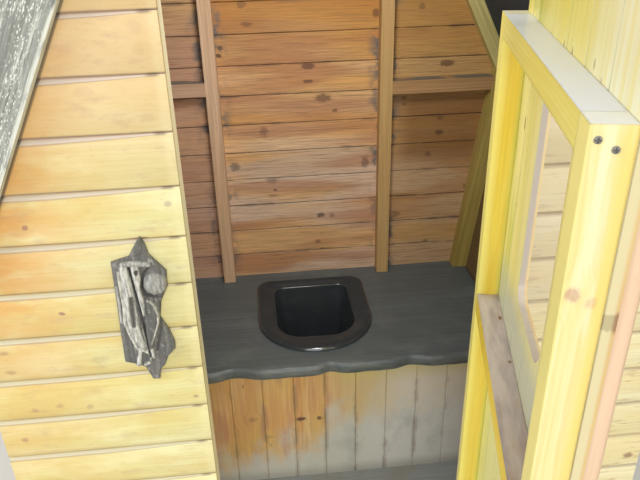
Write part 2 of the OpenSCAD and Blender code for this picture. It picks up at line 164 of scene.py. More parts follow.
ground_half = 14
corners = ((-1, -1), (1, -1), (1, 1), (-1, 1))
floor_mesh = bpy.data.meshes.new("ground")
floor_mesh.from_pydata([(x * ground_half, y * ground_half, 0) for x, y in corners], [], [(0, 1, 2, 3)])
ground = bpy.data.objects.new("ground", floor_mesh)
scene.collection.objects.link(ground)
pale_floor = bpy.data.materials.new("pale_floor")
pale_floor.use_nodes = True
plain = pale_floor.node_tree.nodes["Principled BSDF"].inputs
plain["Base Color"].default_value = colour("#E9E8E4")
plain["Roughness"].default_value = 0.8
floor_mesh.materials.append(pale_floor)


# The base: three squared beams of rough pine, laid front to back on the ground.
# They are dark from damp, with worn edges, and carry the floor boards.
def step(field, low, high, start=0.0, finish=1.0):
    """A smooth change from start to finish while the field goes from low to high."""
    return put(field.tree, "MapRange", field, low, high, start, finish, interpolation_type="SMOOTHSTEP")


def blended(share, first, second, blend="MIX"):
    tree = (share if isinstance(share, Field) else first).tree
    return put(tree, "Mix", data_type="RGBA", blend_type=blend, named={0: share, 6: first, 7: second}, out=2)


def cloud(place, stretch, detail=3.0, rough=0.55, shift=0.0):
    """Noise whose blots have the lengths 1/stretch in metres."""
    moved = place.vector("ADD", (shift, shift * 0.7, shift * 1.3)).vector("MULTIPLY", stretch)
    return put(place.tree, "TexNoise", moved, None, 1.0, detail, rough)


def group(name, inputs, outputs):
    """An empty node group with named sockets: its tree, the fields that come in, and the sockets to put out."""
    tree = bpy.data.node_groups.new(name, "ShaderNodeTree")
    for way, titles in (("INPUT", inputs), ("OUTPUT", outputs)):
        for title in titles:
            kind = "NodeSocketVector" if title in ("Lay", "Place", "Size", "Spot") else "NodeSocketFloat"
            tree.interface.new_socket(title, in_out=way, socket_type=kind)
    given = tree.nodes.new("NodeGroupInput").outputs
    return tree, {title: Field(given[title]) for title in inputs}, tree.nodes.new("NodeGroupOutput").inputs


# Pine grain: long streaks, year rings cut lengthways, soft blots and fine fibre.
# Flow bends the streaks aside round knots. Across and Width place the tree's heart in each board.
pine_grain, given, result = group("pine_grain", ("Lay", "Number", "Across", "Width", "Flow"),
                                  ("Streaks", "Rings", "Blots", "Fibre"))
shift_by = put(pine_grain, "CombineXYZ", *(given["Number"] * k for k in (31.0, 7.0, 13.0)))
log_place = given["Lay"].vector("ADD", shift_by)
wander = cloud(log_place, (1.6, 3.5, 3.5), 1.0) - 0.5
swept = log_place.vector("ADD", put(pine_grain, "CombineXYZ", 0.0, given["Flow"], 0.0))
swept = swept.vector("ADD", put(pine_grain, "CombineXYZ", 0.0, wander * 0.03, 0.0))
luck = put(pine_grain, "TexWhiteNoise", None, given["Number"], noise_dimensions="1D")
off_heart = given["Across"] - given["Width"] * 0.5 + (luck - 0.5) * 0.09 + given["Flow"]
deep = wander * 0.06 + 0.018
reach = (off_heart ** 2.0 + deep ** 2.0).math("SQRT") + cloud(swept, (5, 60, 60), 2.0, 0.5, 5.3) * 0.006
ring = (reach * 150.0).math("FRACT")
for title, field in (
    ("Streaks", step(cloud(swept, (3.2, 150, 150), 5.0, 0.62), 0.34, 0.66)),
    ("Rings", step(ring, 0.25, 0.9) * step(ring, 0.9, 1.0, 1.0, 0.0)),
    ("Blots", step(cloud(log_place, (2.4, 12, 12), 3.0, 0.5, 1.7), 0.36, 0.64)),
    ("Fibre", cloud(swept, (16, 800, 800), 2.0, 0.6, 3.1)),
):
    pine_grain.links.new(field.socket, result[title])

# One knot: a dark oval with a ragged edge, which pushes the streaks round it aside.
# Spot is the place along and across as bent by the knots so far, and the darkest of them here.
one_knot, given, result = group("one_knot", ("Spot", "Place", "Size", "Ragged", "Dark"), ("Spot",))
apart = given["Spot"].vector("SUBTRACT", given["Place"])
away = apart.vector("DIVIDE", given["Size"]).vector("LENGTH", out=1)
oval = step(away + given["Ragged"], 0.45, 1.15, 1.0, 0.0)
near = step(away, 0.0, 4.5, 1.0, 0.0)
along, across, darkest = (given["Spot"][i] for i in range(3))
bent = across + apart[1] * near * -0.75
mask = greater(darkest, oval * given["Dark"])
one_knot.links.new(put(one_knot, "CombineXYZ", along, bent, mask).socket, result["Spot"])

# A board keeps so many knots. Each goes right through its timber, and an unused one lies far outside the board.
KNOTS = 4
KNOT_DEEP = 1000.0
NO_KNOT = ((0.0, -9.0, 0.0), (0.01, 0.01, KNOT_DEEP))


def bare_material(name):
    material = bpy.data.materials.new(name)
    material.use_nodes = True
    material.node_tree.nodes.clear()
    return material


def shaded(material, base, rough, raised, strength, depth, turned=None, more=None):
    """Ends a material: its shader's colour, roughness and raised surface, and its other sockets by name."""
    tree = material.node_tree
    bump = put(tree, "Bump", named={"Strength": strength, "Distance": depth, "Height": raised, "Normal": turned})
    named = {"Base Color": base, "Roughness": rough, "Normal": bump, **(more or {})}
    put(tree, "OutputMaterial", put(tree, "BsdfPrincipled", named=named))
    return material


class Finish:
    """A wood finish in the making. Lay is (along, across, depth) in metres on the wall or timber."""

    def __init__(self, name, along=None, across=None, number=0.5, width=0.05, start=0.0, knots=()):
        self.material = bare_material(name)
        tree = self.tree = self.material.node_tree
        self.rough, self.round = 0.5, 0.0
        if along is None:
            # A board's lay, number and knots are kept at its corners
            self.lay, board = self.mark("lay"), self.mark("board")
            self.number, self.across, self.width = (board[i] for i in range(3))
            knots = []
            for i in range(KNOTS):
                place = self.mark(f"knot_{i}")
                knots.append((place, self.mark(f"knot_{i}_size"), place[2]))
        else:
            along, across = Vector(along).normalized(), Vector(across).normalized()
            turned = Matrix((along, across, along.cross(across))).to_euler()
            place = put(tree, "TexCoord", out="Object")
            self.lay = put(tree, "Mapping", place, (0, 0, 0), tuple(turned), (1, 1, 1))
            self.number, self.width = number, width
            self.across = self.lay[1] - start
            knots = [((x, y, 0.0), (long, high, KNOT_DEEP), dark) for x, y, long, high, dark in knots]
        self.ragged = cloud(self.lay, (90, 140, 140), 2.0) - 0.5
        along, across = self.lay[0], self.lay[1]
        spot = put(tree, "CombineXYZ", along, across, 0.0)
        for place, spread, dark in knots:
            spot = put(tree, "Group", spot, place, spread, self.ragged, dark, node_tree=one_knot)
        flow = spot[1] - across
        self.knot = spot[2]
        grain = put(tree, "Group", self.lay, self.number, self.across, self.width, flow, node_tree=pine_grain)
        self.streaks, self.rings, self.blots, self.fibre = (Field(s) for s in grain.socket.node.outputs)

    def mark(self, name):
        """What the corners of the piece's mesh keep under a name."""
        return put(self.tree, "Attribute", attribute_name=name, out=1)

    def wood(self, pale, main, dark, knot, streak=0.6, ring=0.35, blot=0.5):
        """The bare wood's colours, from its palest streak to its late wood and knots."""
        shade = blended(self.blots * blot, colour(main), colour(pale))
        shade = blended(self.streaks * streak, shade, colour(dark))
        shade = blended(self.rings * ring, shade, colour(dark))
        self.colour = blended(self.knot, shade, colour(knot))
        self.knot_colour = colour(knot)
        self.height = self.fibre * 0.5 + self.rings * 0.3
        return self

    def vary(self, low, high):
        """Each board is a little darker or paler than its neighbours."""
        luck = put(self.tree, "TexWhiteNoise", None, self.number + 0.37, noise_dimensions="1D")
        tint = put(self.tree, "MapRange", luck, 0.0, 1.0, low, high)
        self.colour = blended(1.0, self.colour, put(self.tree, "CombineXYZ", tint, tint, tint), "MULTIPLY")
        return self

    def behind(self, thick):
        """A mask that is one on the back of a board as thick as this."""
        return step(self.lay[2], -thick * 0.6, -thick * 0.9)

    def other_face(self, thick, *tones, also=None, **shares):
        """The back of a board as thick as this has colours of its own, and so has all that lies in the mask also."""
        seen, knot = self.colour, self.knot_colour
        self.wood(*tones, **shares)
        behind = self.behind(thick) if also is None else greater(self.behind(thick), also)
        self.colour = blended(behind, seen, self.colour)
        self.knot_colour = blended(behind, knot, self.knot_colour)
        return self

    def seam(self, low, high, code, share=1.0):
        """A colour along the board's lower edge, low wide, and its upper edge, high wide: stains, and painted shade
        at joints.
        """
        mask = None
        for reach, away in ((low, self.across), (high, self.width - self.across)):
            if reach:
                edge = step(away, reach * 0.3, reach, 1.0, 0.0)
                mask = edge if mask is None else greater(mask, edge)
        return self.cover(mask * (self.streaks * -0.4 + 1.0) * share, code)

    def patches(self, stretch, low, high, shift=0.0, detail=3.0):
        """Soft patches with the lengths 1/stretch. Low and high say how much they leave free, and how sharply."""
        return step(cloud(self.lay, stretch, detail, 0.6, shift), low, high)

    def facing_up(self, low=0.5, high=0.9):
        return step(put(self.tree, "NewGeometry", out=1)[2], low, high)

    def cover(self, mask, code, rough=None):
        """Something on the wood, such as dust, lichen, a stain or painted light and shade, where the mask is one."""
        self.colour = blended(mask, self.colour, colour(code))
        if rough is not None:
            self.rough = put(self.tree, "MapRange", mask, 0.0, 1.0, self.rough, rough)
        return self

    def stain_and_painted_light(self, code, share, *patches, rough=None):
        """A cover that lies in patches. Its share is a number, or a field where it changes from place to place."""
        return self.cover(self.patches(*patches) * share, code, rough)

    def done(self, rough=None, bump=0.35, depth=0.0006, coat=0.0):
        """The shader itself, with the sheen of its varnish and, where round says how wide, softened edges."""
        again = self.knot * step(self.knot, 0.3, 0.55, 0.0, 0.65)
        turned = put(self.tree, "Bevel", self.round) if self.round else None
        return shaded(self.material, blended(again, self.colour, self.knot_colour),
                      self.rough if rough is None else rough, self.height, bump, depth, turned,
                      {"Coat Weight": coat, "Coat Roughness": 0.25})


def dress(node, material, edge=0.003):
    """A timber keeps its own solid, with its edges eased."""
    timber = frame["nodes"][node]
    timber.data.materials.clear()
    timber.data.materials.append(material)
    eased = timber.modifiers.new("eased", "BEVEL")
    eased.width = edge
    eased.segments = 2
    eased.limit_method = "ANGLE"


# Directions in which timbers lie
upright, across_hut, into_hut = (0, 0, 1), (1, 0, 0), (0, 1, 0)
beam_width = 0.09
for number, node in enumerate(("base_beam_left", "base_beam_middle", "base_beam_right")):
    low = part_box(node)[0]
    beam = Finish(node, into_hut, across_hut, 0.11 + number * 0.3, beam_width, low.x)
    beam.wood("#6A5C4C", "#52463A", "#332B24", "#241C16", streak=0.7, ring=0.4)
    beam.stain_and_painted_light("#6F6C62", 1.0, (9, 30, 30), 0.5, 0.7)
    dress(node, beam.done(0.9, 0.7, 0.0015), 0.006)


# The floor: planed pine boards across the hut, nailed to the beams. They are grey with trodden-in dirt,
# darkest in the joints.
def bands(first, rows, count):
    """The faces between closed rings of count points, from ring to ring."""
    return [[first + j * count + i, first + j * count + (i + 1) % count,
             first + (j + 1) * count + (i + 1) % count, first + (j + 1) * count + i]
            for j in range(rows) for i in range(count)]


class Stack:
    """Boards gathered into one mesh.

    Each corner keeps its lay, and its board's number, place across, width and knots.
    """

    def __init__(self, known=(), stray=0.9):
        self.points, self.faces, self.lay, self.board, self.knots = [], [], [], [], []
        self.known, self.stray = known, stray

    def find_knots(self, rows, number, width):
        """The known knots of this board, or else a few by chance, as (along, across, dark) and (long, high)."""
        spots = [face for row in rows for face, _, _ in row]
        lows, highs = ([pick(spot[k] for spot in spots) for k in (0, 1)] for pick in (min, max))
        found = [((x, y, dark), (long, high, KNOT_DEEP)) for x, y, long, high, dark in self.known
                 if lows[0] < x < highs[0] and lows[1] <= y < highs[1]]
        dice = random.Random(number * 7)
        if not found:
            for _ in range(int((highs[0] - lows[0]) * self.stray * 2 * dice.random() + 0.6)):
                size = dice.uniform(0.004, 0.011)
                found.append(((dice.uniform(lows[0], highs[0]), lows[1] + width * dice.uniform(0.15, 0.85),
                               dice.uniform(0.45, 0.9)), (size * dice.uniform(1.1, 1.9), size, KNOT_DEEP)))
        found = found[:KNOTS]
        return found + [NO_KNOT] * (KNOTS - len(found))

    def block(self, rows, number, width, place):
        """rows[j][i] is ((along, across, depth) of the face, the same of the back, across in the board)."""
        first, ring = len(self.points), 2 * len(rows[0])
        knots = self.find_knots(rows, number, width)
        for row in rows:
            for spot, across in [(face, a) for face, _, a in row] + [(back, a) for _, back, a in reversed(row)]:
                self.points.append(place(*spot))
                self.lay.append(spot)
                self.board.append((number, across, width))
                self.knots.append(knots)
        self.faces += bands(first, len(rows) - 1, ring)
        for end in (first, len(self.points) - ring):
            self.faces += [[end + i, end + i + 1, end + ring - 2 - i, end + ring - 1 - i]
                           for i in range(ring // 2 - 1)]

    def mesh(self, name):
        marks = {"lay": self.lay, "board": self.board}
        for i in range(KNOTS):
            marks[f"knot_{i}"] = [knots[i][0] for knots in self.knots]
            marks[f"knot_{i}_size"] = [knots[i][1] for knots in self.knots]
        return built(name, self.points, self.faces, marks=marks)


def tidy_normals(mesh, angle=40):
    shape = bmesh.new()
    shape.from_mesh(mesh)
    bmesh.ops.recalc_face_normals(shape, faces=shape.faces)
    shape.to_mesh(mesh)
    shape.free()
    mesh.shade_smooth()
    mesh.set_sharp_from_angle(angle=math.radians(angle))


def built(name, points, faces, angle=40, marks=None):
    """A mesh with smooth faces between its sharp edges. Its points keep the marks, each under its name."""
    mesh = bpy.data.meshes.new(name)
    mesh.from_pydata(points, [], faces)
    for title, values in (marks or {}).items():
        made = mesh.attributes.new(title, "FLOAT_VECTOR", "POINT")
        made.data.foreach_set("vector", [c for v in values for c in v])
    tidy_normals(mesh, angle)
    return mesh


def fit(mesh, material, node, body="cabin"):
    """A piece with its mesh's name that stands for a CAD node, on the node's body and with its finish."""
    piece = bpy.data.objects.new(mesh.name, mesh)
    scene.collection.objects.link(piece)
    mesh.materials.clear()
    mesh.materials.append(material)
    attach(piece, body)
    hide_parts(node)


def lay_board(stack, low, high, ends, place, number, thick, face, back, limits=None, corners=(), steps=9,
              taper=None, bow=0.0006):
    """One board between two joints. face and back are (foot, head): each edge's shape as (from the edge, depth).

    The board is cut off at the limits, and its ends can turn at the corners.
    """
    least, most = (max(low, limits[0]), min(high, limits[1])) if limits else (low, high)
    dice = random.Random(number)
    lean_in, phase = dice.uniform(0, bow), dice.uniform(0, 6.28)
    apart = 0.001
    start, stop = ends((least + most) / 2)
    rows = []
    for s in [j / steps for j in range(steps + 1)] if isinstance(steps, int) else steps:
        size = taper(start + (stop - start) * s) if taper else 1.0
        sides = []
        for (foot, head), amount in ((face, size), (back, 1.0)):
            points = [(low + a, d) for a, d in foot] + [(high - a * amount, d * amount) for a, d in reversed(head)]
            inner = [p for p in points if least <= p[0] <= most]
            if least > low:
                inner.insert(0, (least, 0.0))
            if most < high:
                inner.append((most, 0.0))
            for corner in corners:
                if inner[0][0] < corner - apart and inner[-1][0] > corner + apart:
                    if all(abs(a - corner) > apart for a, _ in inner):
                        inner = sorted(inner + [(corner, 0.0)])
            sides.append(inner)
        row = []
        for (a, d), (b, e) in zip(*sides):
            x, x_back = (first + (last - first) * s for first, last in (ends(a), ends(b)))
            d -= lean_in * (0.6 + 0.4 * math.sin(phase + 5 * x))
            row.append(((x, a, d), (x_back, b, e - thick), a - low))
        rows.append(row)
    stack.block(rows, number, high - low, place)


square_edge = ([(0.0, -0.0012), (0.0012, 0.0)],) * 2
blunt_edge = ([(0.0, 0.0), (0.0012, 0.0)],) * 2
floor_low, floor_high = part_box("floor")
floor_z = floor_high.z
base_half, shoulder_half, shoulder_h = 0.497, 0.640, 1.112
lean = (shoulder_half - base_half) / shoulder_h
floor_pitch = 0.0976
floor_boards = Stack()
board_count = round((floor_high.y - floor_low.y) / floor_pitch)
floor_edges = [floor_low.y + i * (floor_high.y - floor_low.y) / board_count for i in range(board_count + 1)]
for i, (low, high) in enumerate(zip(floor_edges, floor_edges[1:])):
    lay_board(floor_boards, low, high, lambda a: (-base_half, base_half), lambda x, a, d: (x, a, floor_z + d),
              1.1 + i * 0.37, floor_high.z - floor_low.z, square_edge, blunt_edge)
trodden = Finish("trodden_floor")
trodden.wood("#A8ACAA", "#9A9F9D", "#7C807E", "#5A5858", streak=0.5, ring=0.25).vary(0.9, 1.08)
trodden.stain_and_painted_light("#98958C", 1.0, (6, 9, 9), 0.5, 0.7, rough=0.9)
trodden.seam(0.004, 0.004, "#3A3833", 0.9)
fit(floor_boards.mesh("floor_boards"), trodden.done(0.85, 0.5), "floor")


# The frame: planed pine timbers, halved and screwed together. Two leaning corner posts and two rafters make
# each end; door posts and a header frame the doorway, and two upright posts and two rails stiffen the back.
ridge_h = 2.365
run = shoulder_half / (ridge_h - shoulder_h)
wall_up = Vector((lean, 0, 1)).normalized()
roof_up = Vector((-run, 0, 1)).normalized()
hut_sides = ((-1, "left"), (1, "right"))


def handed(way, side):
    """A direction or place on the hut's right half, or its mirror image on the left."""
    return Vector((way.x * side, way.y, way.z))


honey = ("#E2BE86", "#D4AC70", "#AC874C", "#6E5028")
brown = ("#DCBC9E", "#D2A88A", "#AA8468", "#6E4C3C")
olive = ("#D2BE6E", "#BEA758", "#8E7A3A", "#54461E")
green = ("#ECDE9A", "#D8C87E", "#A39654", "#5E5A30")
# The door posts' cream is far paler than their pine: painted light, so that the doorway's sides, which face away from
# the lamps, read brightly lit.
cream = ("#FFFAE0", "#FFF5D0", "#F4E2B4", "#B08C60")
frame_timbers = (
    ("door_post_left", upright, across_hut, cream),
    ("door_post_right", upright, across_hut, cream),
    ("door_header", across_hut, upright, honey),
    ("back_post_left", upright, across_hut, ("#F2D2B2", "#E3BA94", "#B48C6C", "#6E4630")),
    ("back_post_right", upright, across_hut, honey),
    *((f"corner_post_{end}_{label}", handed(wall_up, side), across_hut, olive)
      for end in ("front", "back") for side, label in hut_sides),
    ("shoulder_rail_left", across_hut, upright, brown),
    ("shoulder_rail_right", across_hut, upright, ("#CFA878", "#C09464", "#957044", "#5E4226")),
    *((f"rafter_{end}_{label}", handed(roof_up, side), into_hut, green)
      for end in ("front", "back") for side, label in hut_sides),
)
for count, (node, along, aslant, tones) in enumerate(frame_timbers):
    along, aslant = Vector(along), Vector(aslant)
    timber = Finish(node, along, aslant - along * along.dot(aslant), 0.13 + 0.29 * count, 0.042)
    timber.wood(*tones, streak=0.5, ring=0.3)
    timber.stain_and_painted_light("#77736A", timber.facing_up(), (14, 14, 14), 0.3, 0.5, rough=0.9)
    dress(node, timber.done(0.5, 0.35))


# The front: pine lining boards laid level, each with a wide sloping shelf along its top that sheds the rain
# and a rounded foot. They are nailed to the frame and varnished, and end flush with the door posts at the doorway.
front_y, back_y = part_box("front_wall_left")[0].y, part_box("back_wall")[1].y
frame_front, frame_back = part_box("front_wall_left")[1].y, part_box("back_wall")[0].y
board_pitch, front_joint, back_joint = 0.09, 1.446, 1.237
clad_thick, wall_foot, side_gap = 0.013, -0.055, 0.0002
doorway_left, doorway_right, doorway_h = -0.263, 0.312, 1.6
lean_k, run_k = math.hypot(1, lean), math.hypot(1, run)
shelf_head = [(0.0, -0.0062), (0.0075, -0.0008), (0.0088, 0.0)]
round_foot = [(0.0, -0.0022), (0.0007, -0.0008), (0.0022, 0.0)]
flat_back = ([(0.0, 0.0), (0.001, 0.0), (0.002, 0.0)],) * 2
wall_top = ridge_h - 0.0004
side_out = side_gap + clad_thick
corner_rise = (shoulder_half + run * shoulder_h - base_half - side_out * lean_k) / (lean + run)
corner_half = base_half + lean * corner_rise + side_out * lean_k


def wall_reach(rise):
    """Half the width of an end wall: upright ends below the shoulders, and the roof boards' slope above them."""
    return min(corner_half, shoulder_half - run * (rise - shoulder_h))


def on_front(x, rise, depth):
    return (x, front_y - depth, floor_z + rise)


# Pixels for a slope of one from the view's middle, and the metres of a pixel on the front and back walls
view_scale, view_middle, wall_pixel = 665.18, (320, 240), 0.0021


def seen_on(px, py, spot, normal):
    """Where a spot of the view, in pixels of 640 by 480, lies on the plane through a place."""
    to_right, down = px - view_middle[0], py - view_middle[1]
    ray = camera.matrix_world.to_3x3() @ Vector((to_right / view_scale, -down / view_scale, -1))
    return camera_place + ray * ((Vector(spot) - camera_place).dot(normal) / ray.dot(normal))


def seen_at(px, py, y):
    """The same on a wall at y, as (x, height over the floor)."""
    spot = seen_on(px, py, (0, y, 0), Vector((0, 1, 0)))
    return spot.x, spot.z - floor_z


def knots_seen(y, spots):
    """Knots and dark blots of a wall at y: place in the view, half length and half height there, and darkness."""
    return [(*seen_at(px, py, y), long * wall_pixel, high * wall_pixel, dark) for px, py, long, high, dark in spots]


shelf_stop, shelf_fade, shelf_curve = 0.006, 0.2, 0.6


def fade_at(edge):
    """The shelf narrows towards the doorway, and runs out just before it."""
    return lambda x: max(0.08, min(1.0, max(0.0, abs(x - edge) - shelf_stop) / shelf_fade) ** shelf_curve)


def wall_ends(rise):
    """Both ends of an end wall's boards at one height."""
    return -wall_reach(rise), wall_reach(rise)


def level_boards(start, low, high, ends, place, first, pace, known=(), face=(round_foot, shelf_head), back=flat_back,
                 corners=(), steps=10, taper=None, bow=0.0004):
    """A wall's level boards, with a joint at start, from a low height up to a high one."""
    stack = Stack(known)
    for i in range(math.floor((low - start) / board_pitch), math.ceil((high - start) / board_pitch)):
        lay_board(stack, start + i * board_pitch, start + (i + 1) * board_pitch, ends, place, first + pace * i,
                  clad_thick, face, back, (low, high), corners, steps, taper, bow)
    return stack


def front_boards(name, low, high, ends, edge=None, known=()):
    near_edge = (0, 0.12, 0.25, 0.4, 0.55, 0.7, 0.8, 0.86, 0.9, 0.93, 0.96, 0.98, 1.0)
    steps = 12 if edge is None else near_edge if edge < 0 else tuple(1 - s for s in reversed(near_edge))
    taper = None if edge is None else fade_at(edge)
    return level_boards(front_joint, low, high, ends, on_front, 2.07, 0.31, known, corners=(corner_rise,),
                        steps=steps, taper=taper).mesh(name)


varnished = ("#F0DCA4", "#E2C284", "#C89A58", "#8A5A48")
faint_grain = {"streak": 0.24, "ring": 0.14, "blot": 0.9}
# Both edges of each board darken: painted shade under its rounded foot, and a darker band over the shelf at its head.
joint_shade_and_shelf_band = (0.0035, 0.010, "#96805F", 0.8)


def weathered_pine(name, pale, main, dark, knot="#8A5A48"):
    finish = Finish(name)
    finish.wood(pale, main, dark, knot, **faint_grain).vary(0.95, 1.03)
    return finish


left_knots = knots_seen(front_y, (
    (60, 50, 10, 6, 0.28), (54, 64, 8, 5, 0.26), (134, 27, 6, 6, 0.24), (137, 43, 5, 6, 0.22), (118, 59, 6, 4, 0.2),
    (83, 92, 8, 5, 0.25), (86, 111, 7, 5, 0.24), (147, 118, 7, 4, 0.22), (25, 228, 3, 3, 0.7), (168, 204, 4, 3, 0.45),
    (101, 360, 9, 5, 0.22), (4, 354, 5, 3, 0.45), (11, 373, 5, 3, 0.45), (35, 411, 4, 3, 0.4), (60, 406, 4, 3, 0.35),
    (90, 407, 4, 3, 0.35), (196, 396, 3, 2, 0.45), (25, 440, 4, 3, 0.45), (135, 380, 7, 4, 0.2),
    (139, 238, 9, 1, 0.7),
))
left_pine = weathered_pine("front_pine_left", "#E9E4B0", "#DFD38C", "#C9AF60", "#8C6468")
along, height = left_pine.lay[0], left_pine.lay[1]
toward_barge = step(along, -0.34, -0.60) * step(height, 0.75, 1.15, 0.3, 0.95)
left_pine.stain_and_painted_light("#D8B868", 0.45, (8, 22, 22), 0.45, 0.8, 7.7, 2.0)
left_pine.stain_and_painted_light("#F2F0BE", 0.6, (9, 18, 18), 0.42, 0.85, 5.2, 2.0)
left_pine.cover(step(height, 1.10, 1.40) * 0.6, "#E0B284")
left_pine.stain_and_painted_light("#DC9A48", toward_barge, (7, 16, 16), 0.24, 0.56, 2.2)
left_pine.stain_and_painted_light("#A08050", 0.22, (60, 300, 300), 0.58, 0.7, 3.6, 4.0)
left_pine.stain_and_painted_light("#B08C7C", 0.3, (14, 34, 34), 0.55, 0.75, 8.4, 3.0)
left_pine.cover(step(along, doorway_left - 0.022, doorway_left - 0.008, 0.0, 0.25), "#F6E9B8")
from_head = left_pine.width - left_pine.across
shelf_from = doorway_left - shelf_stop
narrow = put(left_pine.tree, "MapRange", along, shelf_from, shelf_from - shelf_fade)
narrow = greater(narrow ** shelf_curve, 0.04)
on_shelf = from_head / narrow
shelf = step(on_shelf, 0.0080, 0.0098, 1.0, 0.0)
high_up = step(height, 0.95, 1.35)
left_pine.cover(shelf * 0.6, "#CDBB8C")
left_pine.cover(shelf * high_up * 0.7, "#D2B2A0")
core = shelf * step(on_shelf, 0.0015, 0.0050)
left_pine.cover(core * 0.85, "#CFC8AA")
left_pine.cover(core * high_up * 0.7, "#DCCABE")
line = step(on_shelf, 0.0080, 0.0092) * step(on_shelf, 0.0100, 0.0130, 1.0, 0.0)
left_pine.cover(line * 0.55, "#9C8070")
# Painted shadow along the foot of each board, under its rounded edge: a soft olive band low on the wall, a dark line,
# and higher up a purple-brown line.
left_pine.seam(0.012, 0.0, "#C2A868", step(height, 1.1, 0.8) * 0.5)
left_pine.seam(0.0048, 0.0, "#86723E", 0.85)
left_pine.seam(0.0036, 0.0, "#A5887C", step(height, 0.9, 1.3, 0.0, 0.9))
# Painted shadow: a dark line on the boards along the barge board's lower edge, where it meets the wall.
off_roof = (along + height * -run + shoulder_half + run * shoulder_h) / run_k
left_pine.cover(step(off_roof, 0.066, 0.0625) * 0.8, "#54493A")
run_out = abs(along - (doorway_left - 0.019))
at_joint = greater(step(from_head, 0.006, 0.001), step(left_pine.across, 0.004, 0.001))
left_pine.cover(step(run_out, 0.015, 0.003) * at_joint * 0.6, "#6A5238")
left_wall = front_boards("front_boards_left", wall_foot, doorway_h, lambda a: (-wall_reach(a), doorway_left),
                         doorway_left, left_knots)
fit(left_wall, left_pine.done(0.45, 0.3, coat=0.2), "front_wall_left")

right_pine = weathered_pine("front_pine_right", "#F8F2C8", "#F0E4AC", "#D2B274")
right_pine.stain_and_painted_light("#B08A60", 0.45, (16, 110, 110), 0.54, 0.7, 4.0)
# Painted shade: the boards just right of the doorway, behind the open door, are greyed as in its shadow.
near_door = step(right_pine.lay[0], 0.50, 0.42) * step(right_pine.lay[1], 0.80, 0.95)
right_pine.cover(near_door * 0.5, "#CDBFA6")
right_pine.seam(*joint_shade_and_shelf_band)
right_wall = front_boards("front_boards_right", wall_foot, doorway_h, lambda a: (doorway_right, wall_reach(a)),
                          doorway_right)
fit(right_wall, right_pine.done(0.45, 0.3, coat=0.2), "front_wall_right")

gable_pine = weathered_pine("gable_pine", "#F2DFA6", "#E6C888", "#CDA05C")
gable_pine.seam(*joint_shade_and_shelf_band)
gable = front_boards("gable_boards", doorway_h, wall_top, wall_ends)
fit(gable, gable_pine.done(0.45, 0.3, coat=0.2), "front_gable")

sill = Finish("sill_pine", across_hut, upright, 0.71, 0.055, floor_z + wall_foot)
sill.wood("#E2CC98", "#D2B47C", "#AE8650", "#6A4628", streak=0.5)
sill.stain_and_painted_light("#A39C8C", 1.0, (12, 30, 30), 0.45, 0.65, rough=0.8)
dress("front_sill", sill.done(0.6, 0.4), 0.0025)


# The back wall: the same lining boards, seen from inside through the doorway, with a narrow joint between them.
# The pine has darkened to orange-brown, with many knots, and mould has crept in beside the posts.
def on_back(x, rise, depth):
    return (x, frame_back - depth, floor_z + rise)


vee = [(0.0, -0.0022), (0.0008, -0.0012), (0.0022, 0.0)]
back_shelf = ([(0.0, 0.0022), (0.0007, 0.0008), (0.0022, 0.0)], [(0.0, 0.0062), (0.0075, 0.0008), (0.0088, 0.0)])
back_knots = knots_seen(frame_back, (
    (241, 4, 9, 8, 0.6), (246, 22, 10, 7, 0.6), (220, 48, 5, 4, 0.7), (218, 54, 5, 4, 0.8), (308, 66, 12, 6, 0.8),
    (308, 80, 9, 5, 0.8), (323, 98, 15, 8, 0.6), (335, 107, 5, 4, 0.6), (376, 13, 6, 8, 0.8), (264, 132, 8, 10, 0.5),
    (235, 167, 10, 9, 0.6), (365, 162, 8, 12, 0.6), (370, 150, 9, 9, 0.4), (272, 180, 12, 8, 0.5),
    (275, 186, 4, 3, 0.9), (273, 193, 12, 6, 0.5), (321, 215, 8, 5, 0.95), (332, 215, 6, 4, 0.5),
    (280, 218, 12, 3, 0.4), (322, 233, 6, 5, 0.4), (318, 240, 7, 5, 0.7), (322, 247, 5, 4, 0.7),
    (422, 6, 7, 6, 0.6), (419, 18, 7, 6, 0.6), (447, 63, 14, 6, 0.7), (404, 98, 5, 4, 0.7), (404, 102, 4, 3, 0.7),
    (405, 111, 5, 4, 0.6), (440, 118, 7, 5, 0.6), (439, 132, 8, 6, 0.9), (428, 154, 7, 6, 0.6), (432, 167, 6, 5, 0.6),
    (399, 148, 6, 5, 0.6), (396, 214, 9, 7, 0.6), (425, 241, 7, 5, 0.6), (465, 186, 6, 5, 0.6), (191, 192, 8, 5, 0.8),
))
back_stack = level_boards(back_joint, wall_foot, wall_top, wall_ends, on_back, 5.03, 0.43, back_knots, (vee, vee),
                          back_shelf, (corner_rise,), 14, bow=0.0005)
inner_pine = Finish("darkened_pine")
inner_pine.wood("#FACF98", "#E8B678", "#B88A60", "#48302C", streak=0.45, ring=0.2, blot=0.9).vary(0.84, 1.08)
along, rise = inner_pine.lay[0], inner_pine.lay[1]
inner_pine.cover(step(rise, 1.05, 0.70) * 0.6, "#ECD6C6")
inner_pine.stain_and_painted_light("#F2B45A", 0.6, (1.5, 11, 11), 0.42, 0.6, 4.3, 1.0)
inner_pine.stain_and_painted_light("#BC7C56", 0.6, (2, 14, 14), 0.45, 0.62, 7.9, 1.0)
inner_pine.cover(step(rise, 1.08, 1.34) * 0.75, "#BE7E2A")
left_end = step(along, -0.26, -0.30)
inner_pine.cover(left_end * 0.7, "#C89C84")
inner_pine.cover(left_end * step(rise, 1.18, 1.34, 0.0, 0.5), "#DCB474")
inner_pine.cover(step(along, 0.27, 0.30) * 0.55, "#BE9858")
shady = step(rise, 0.78, 0.86) * step(rise, 1.06, 1.0)
inner_pine.cover(shady * step(along, 0.27, 0.36) * 0.58, "#6A4212")
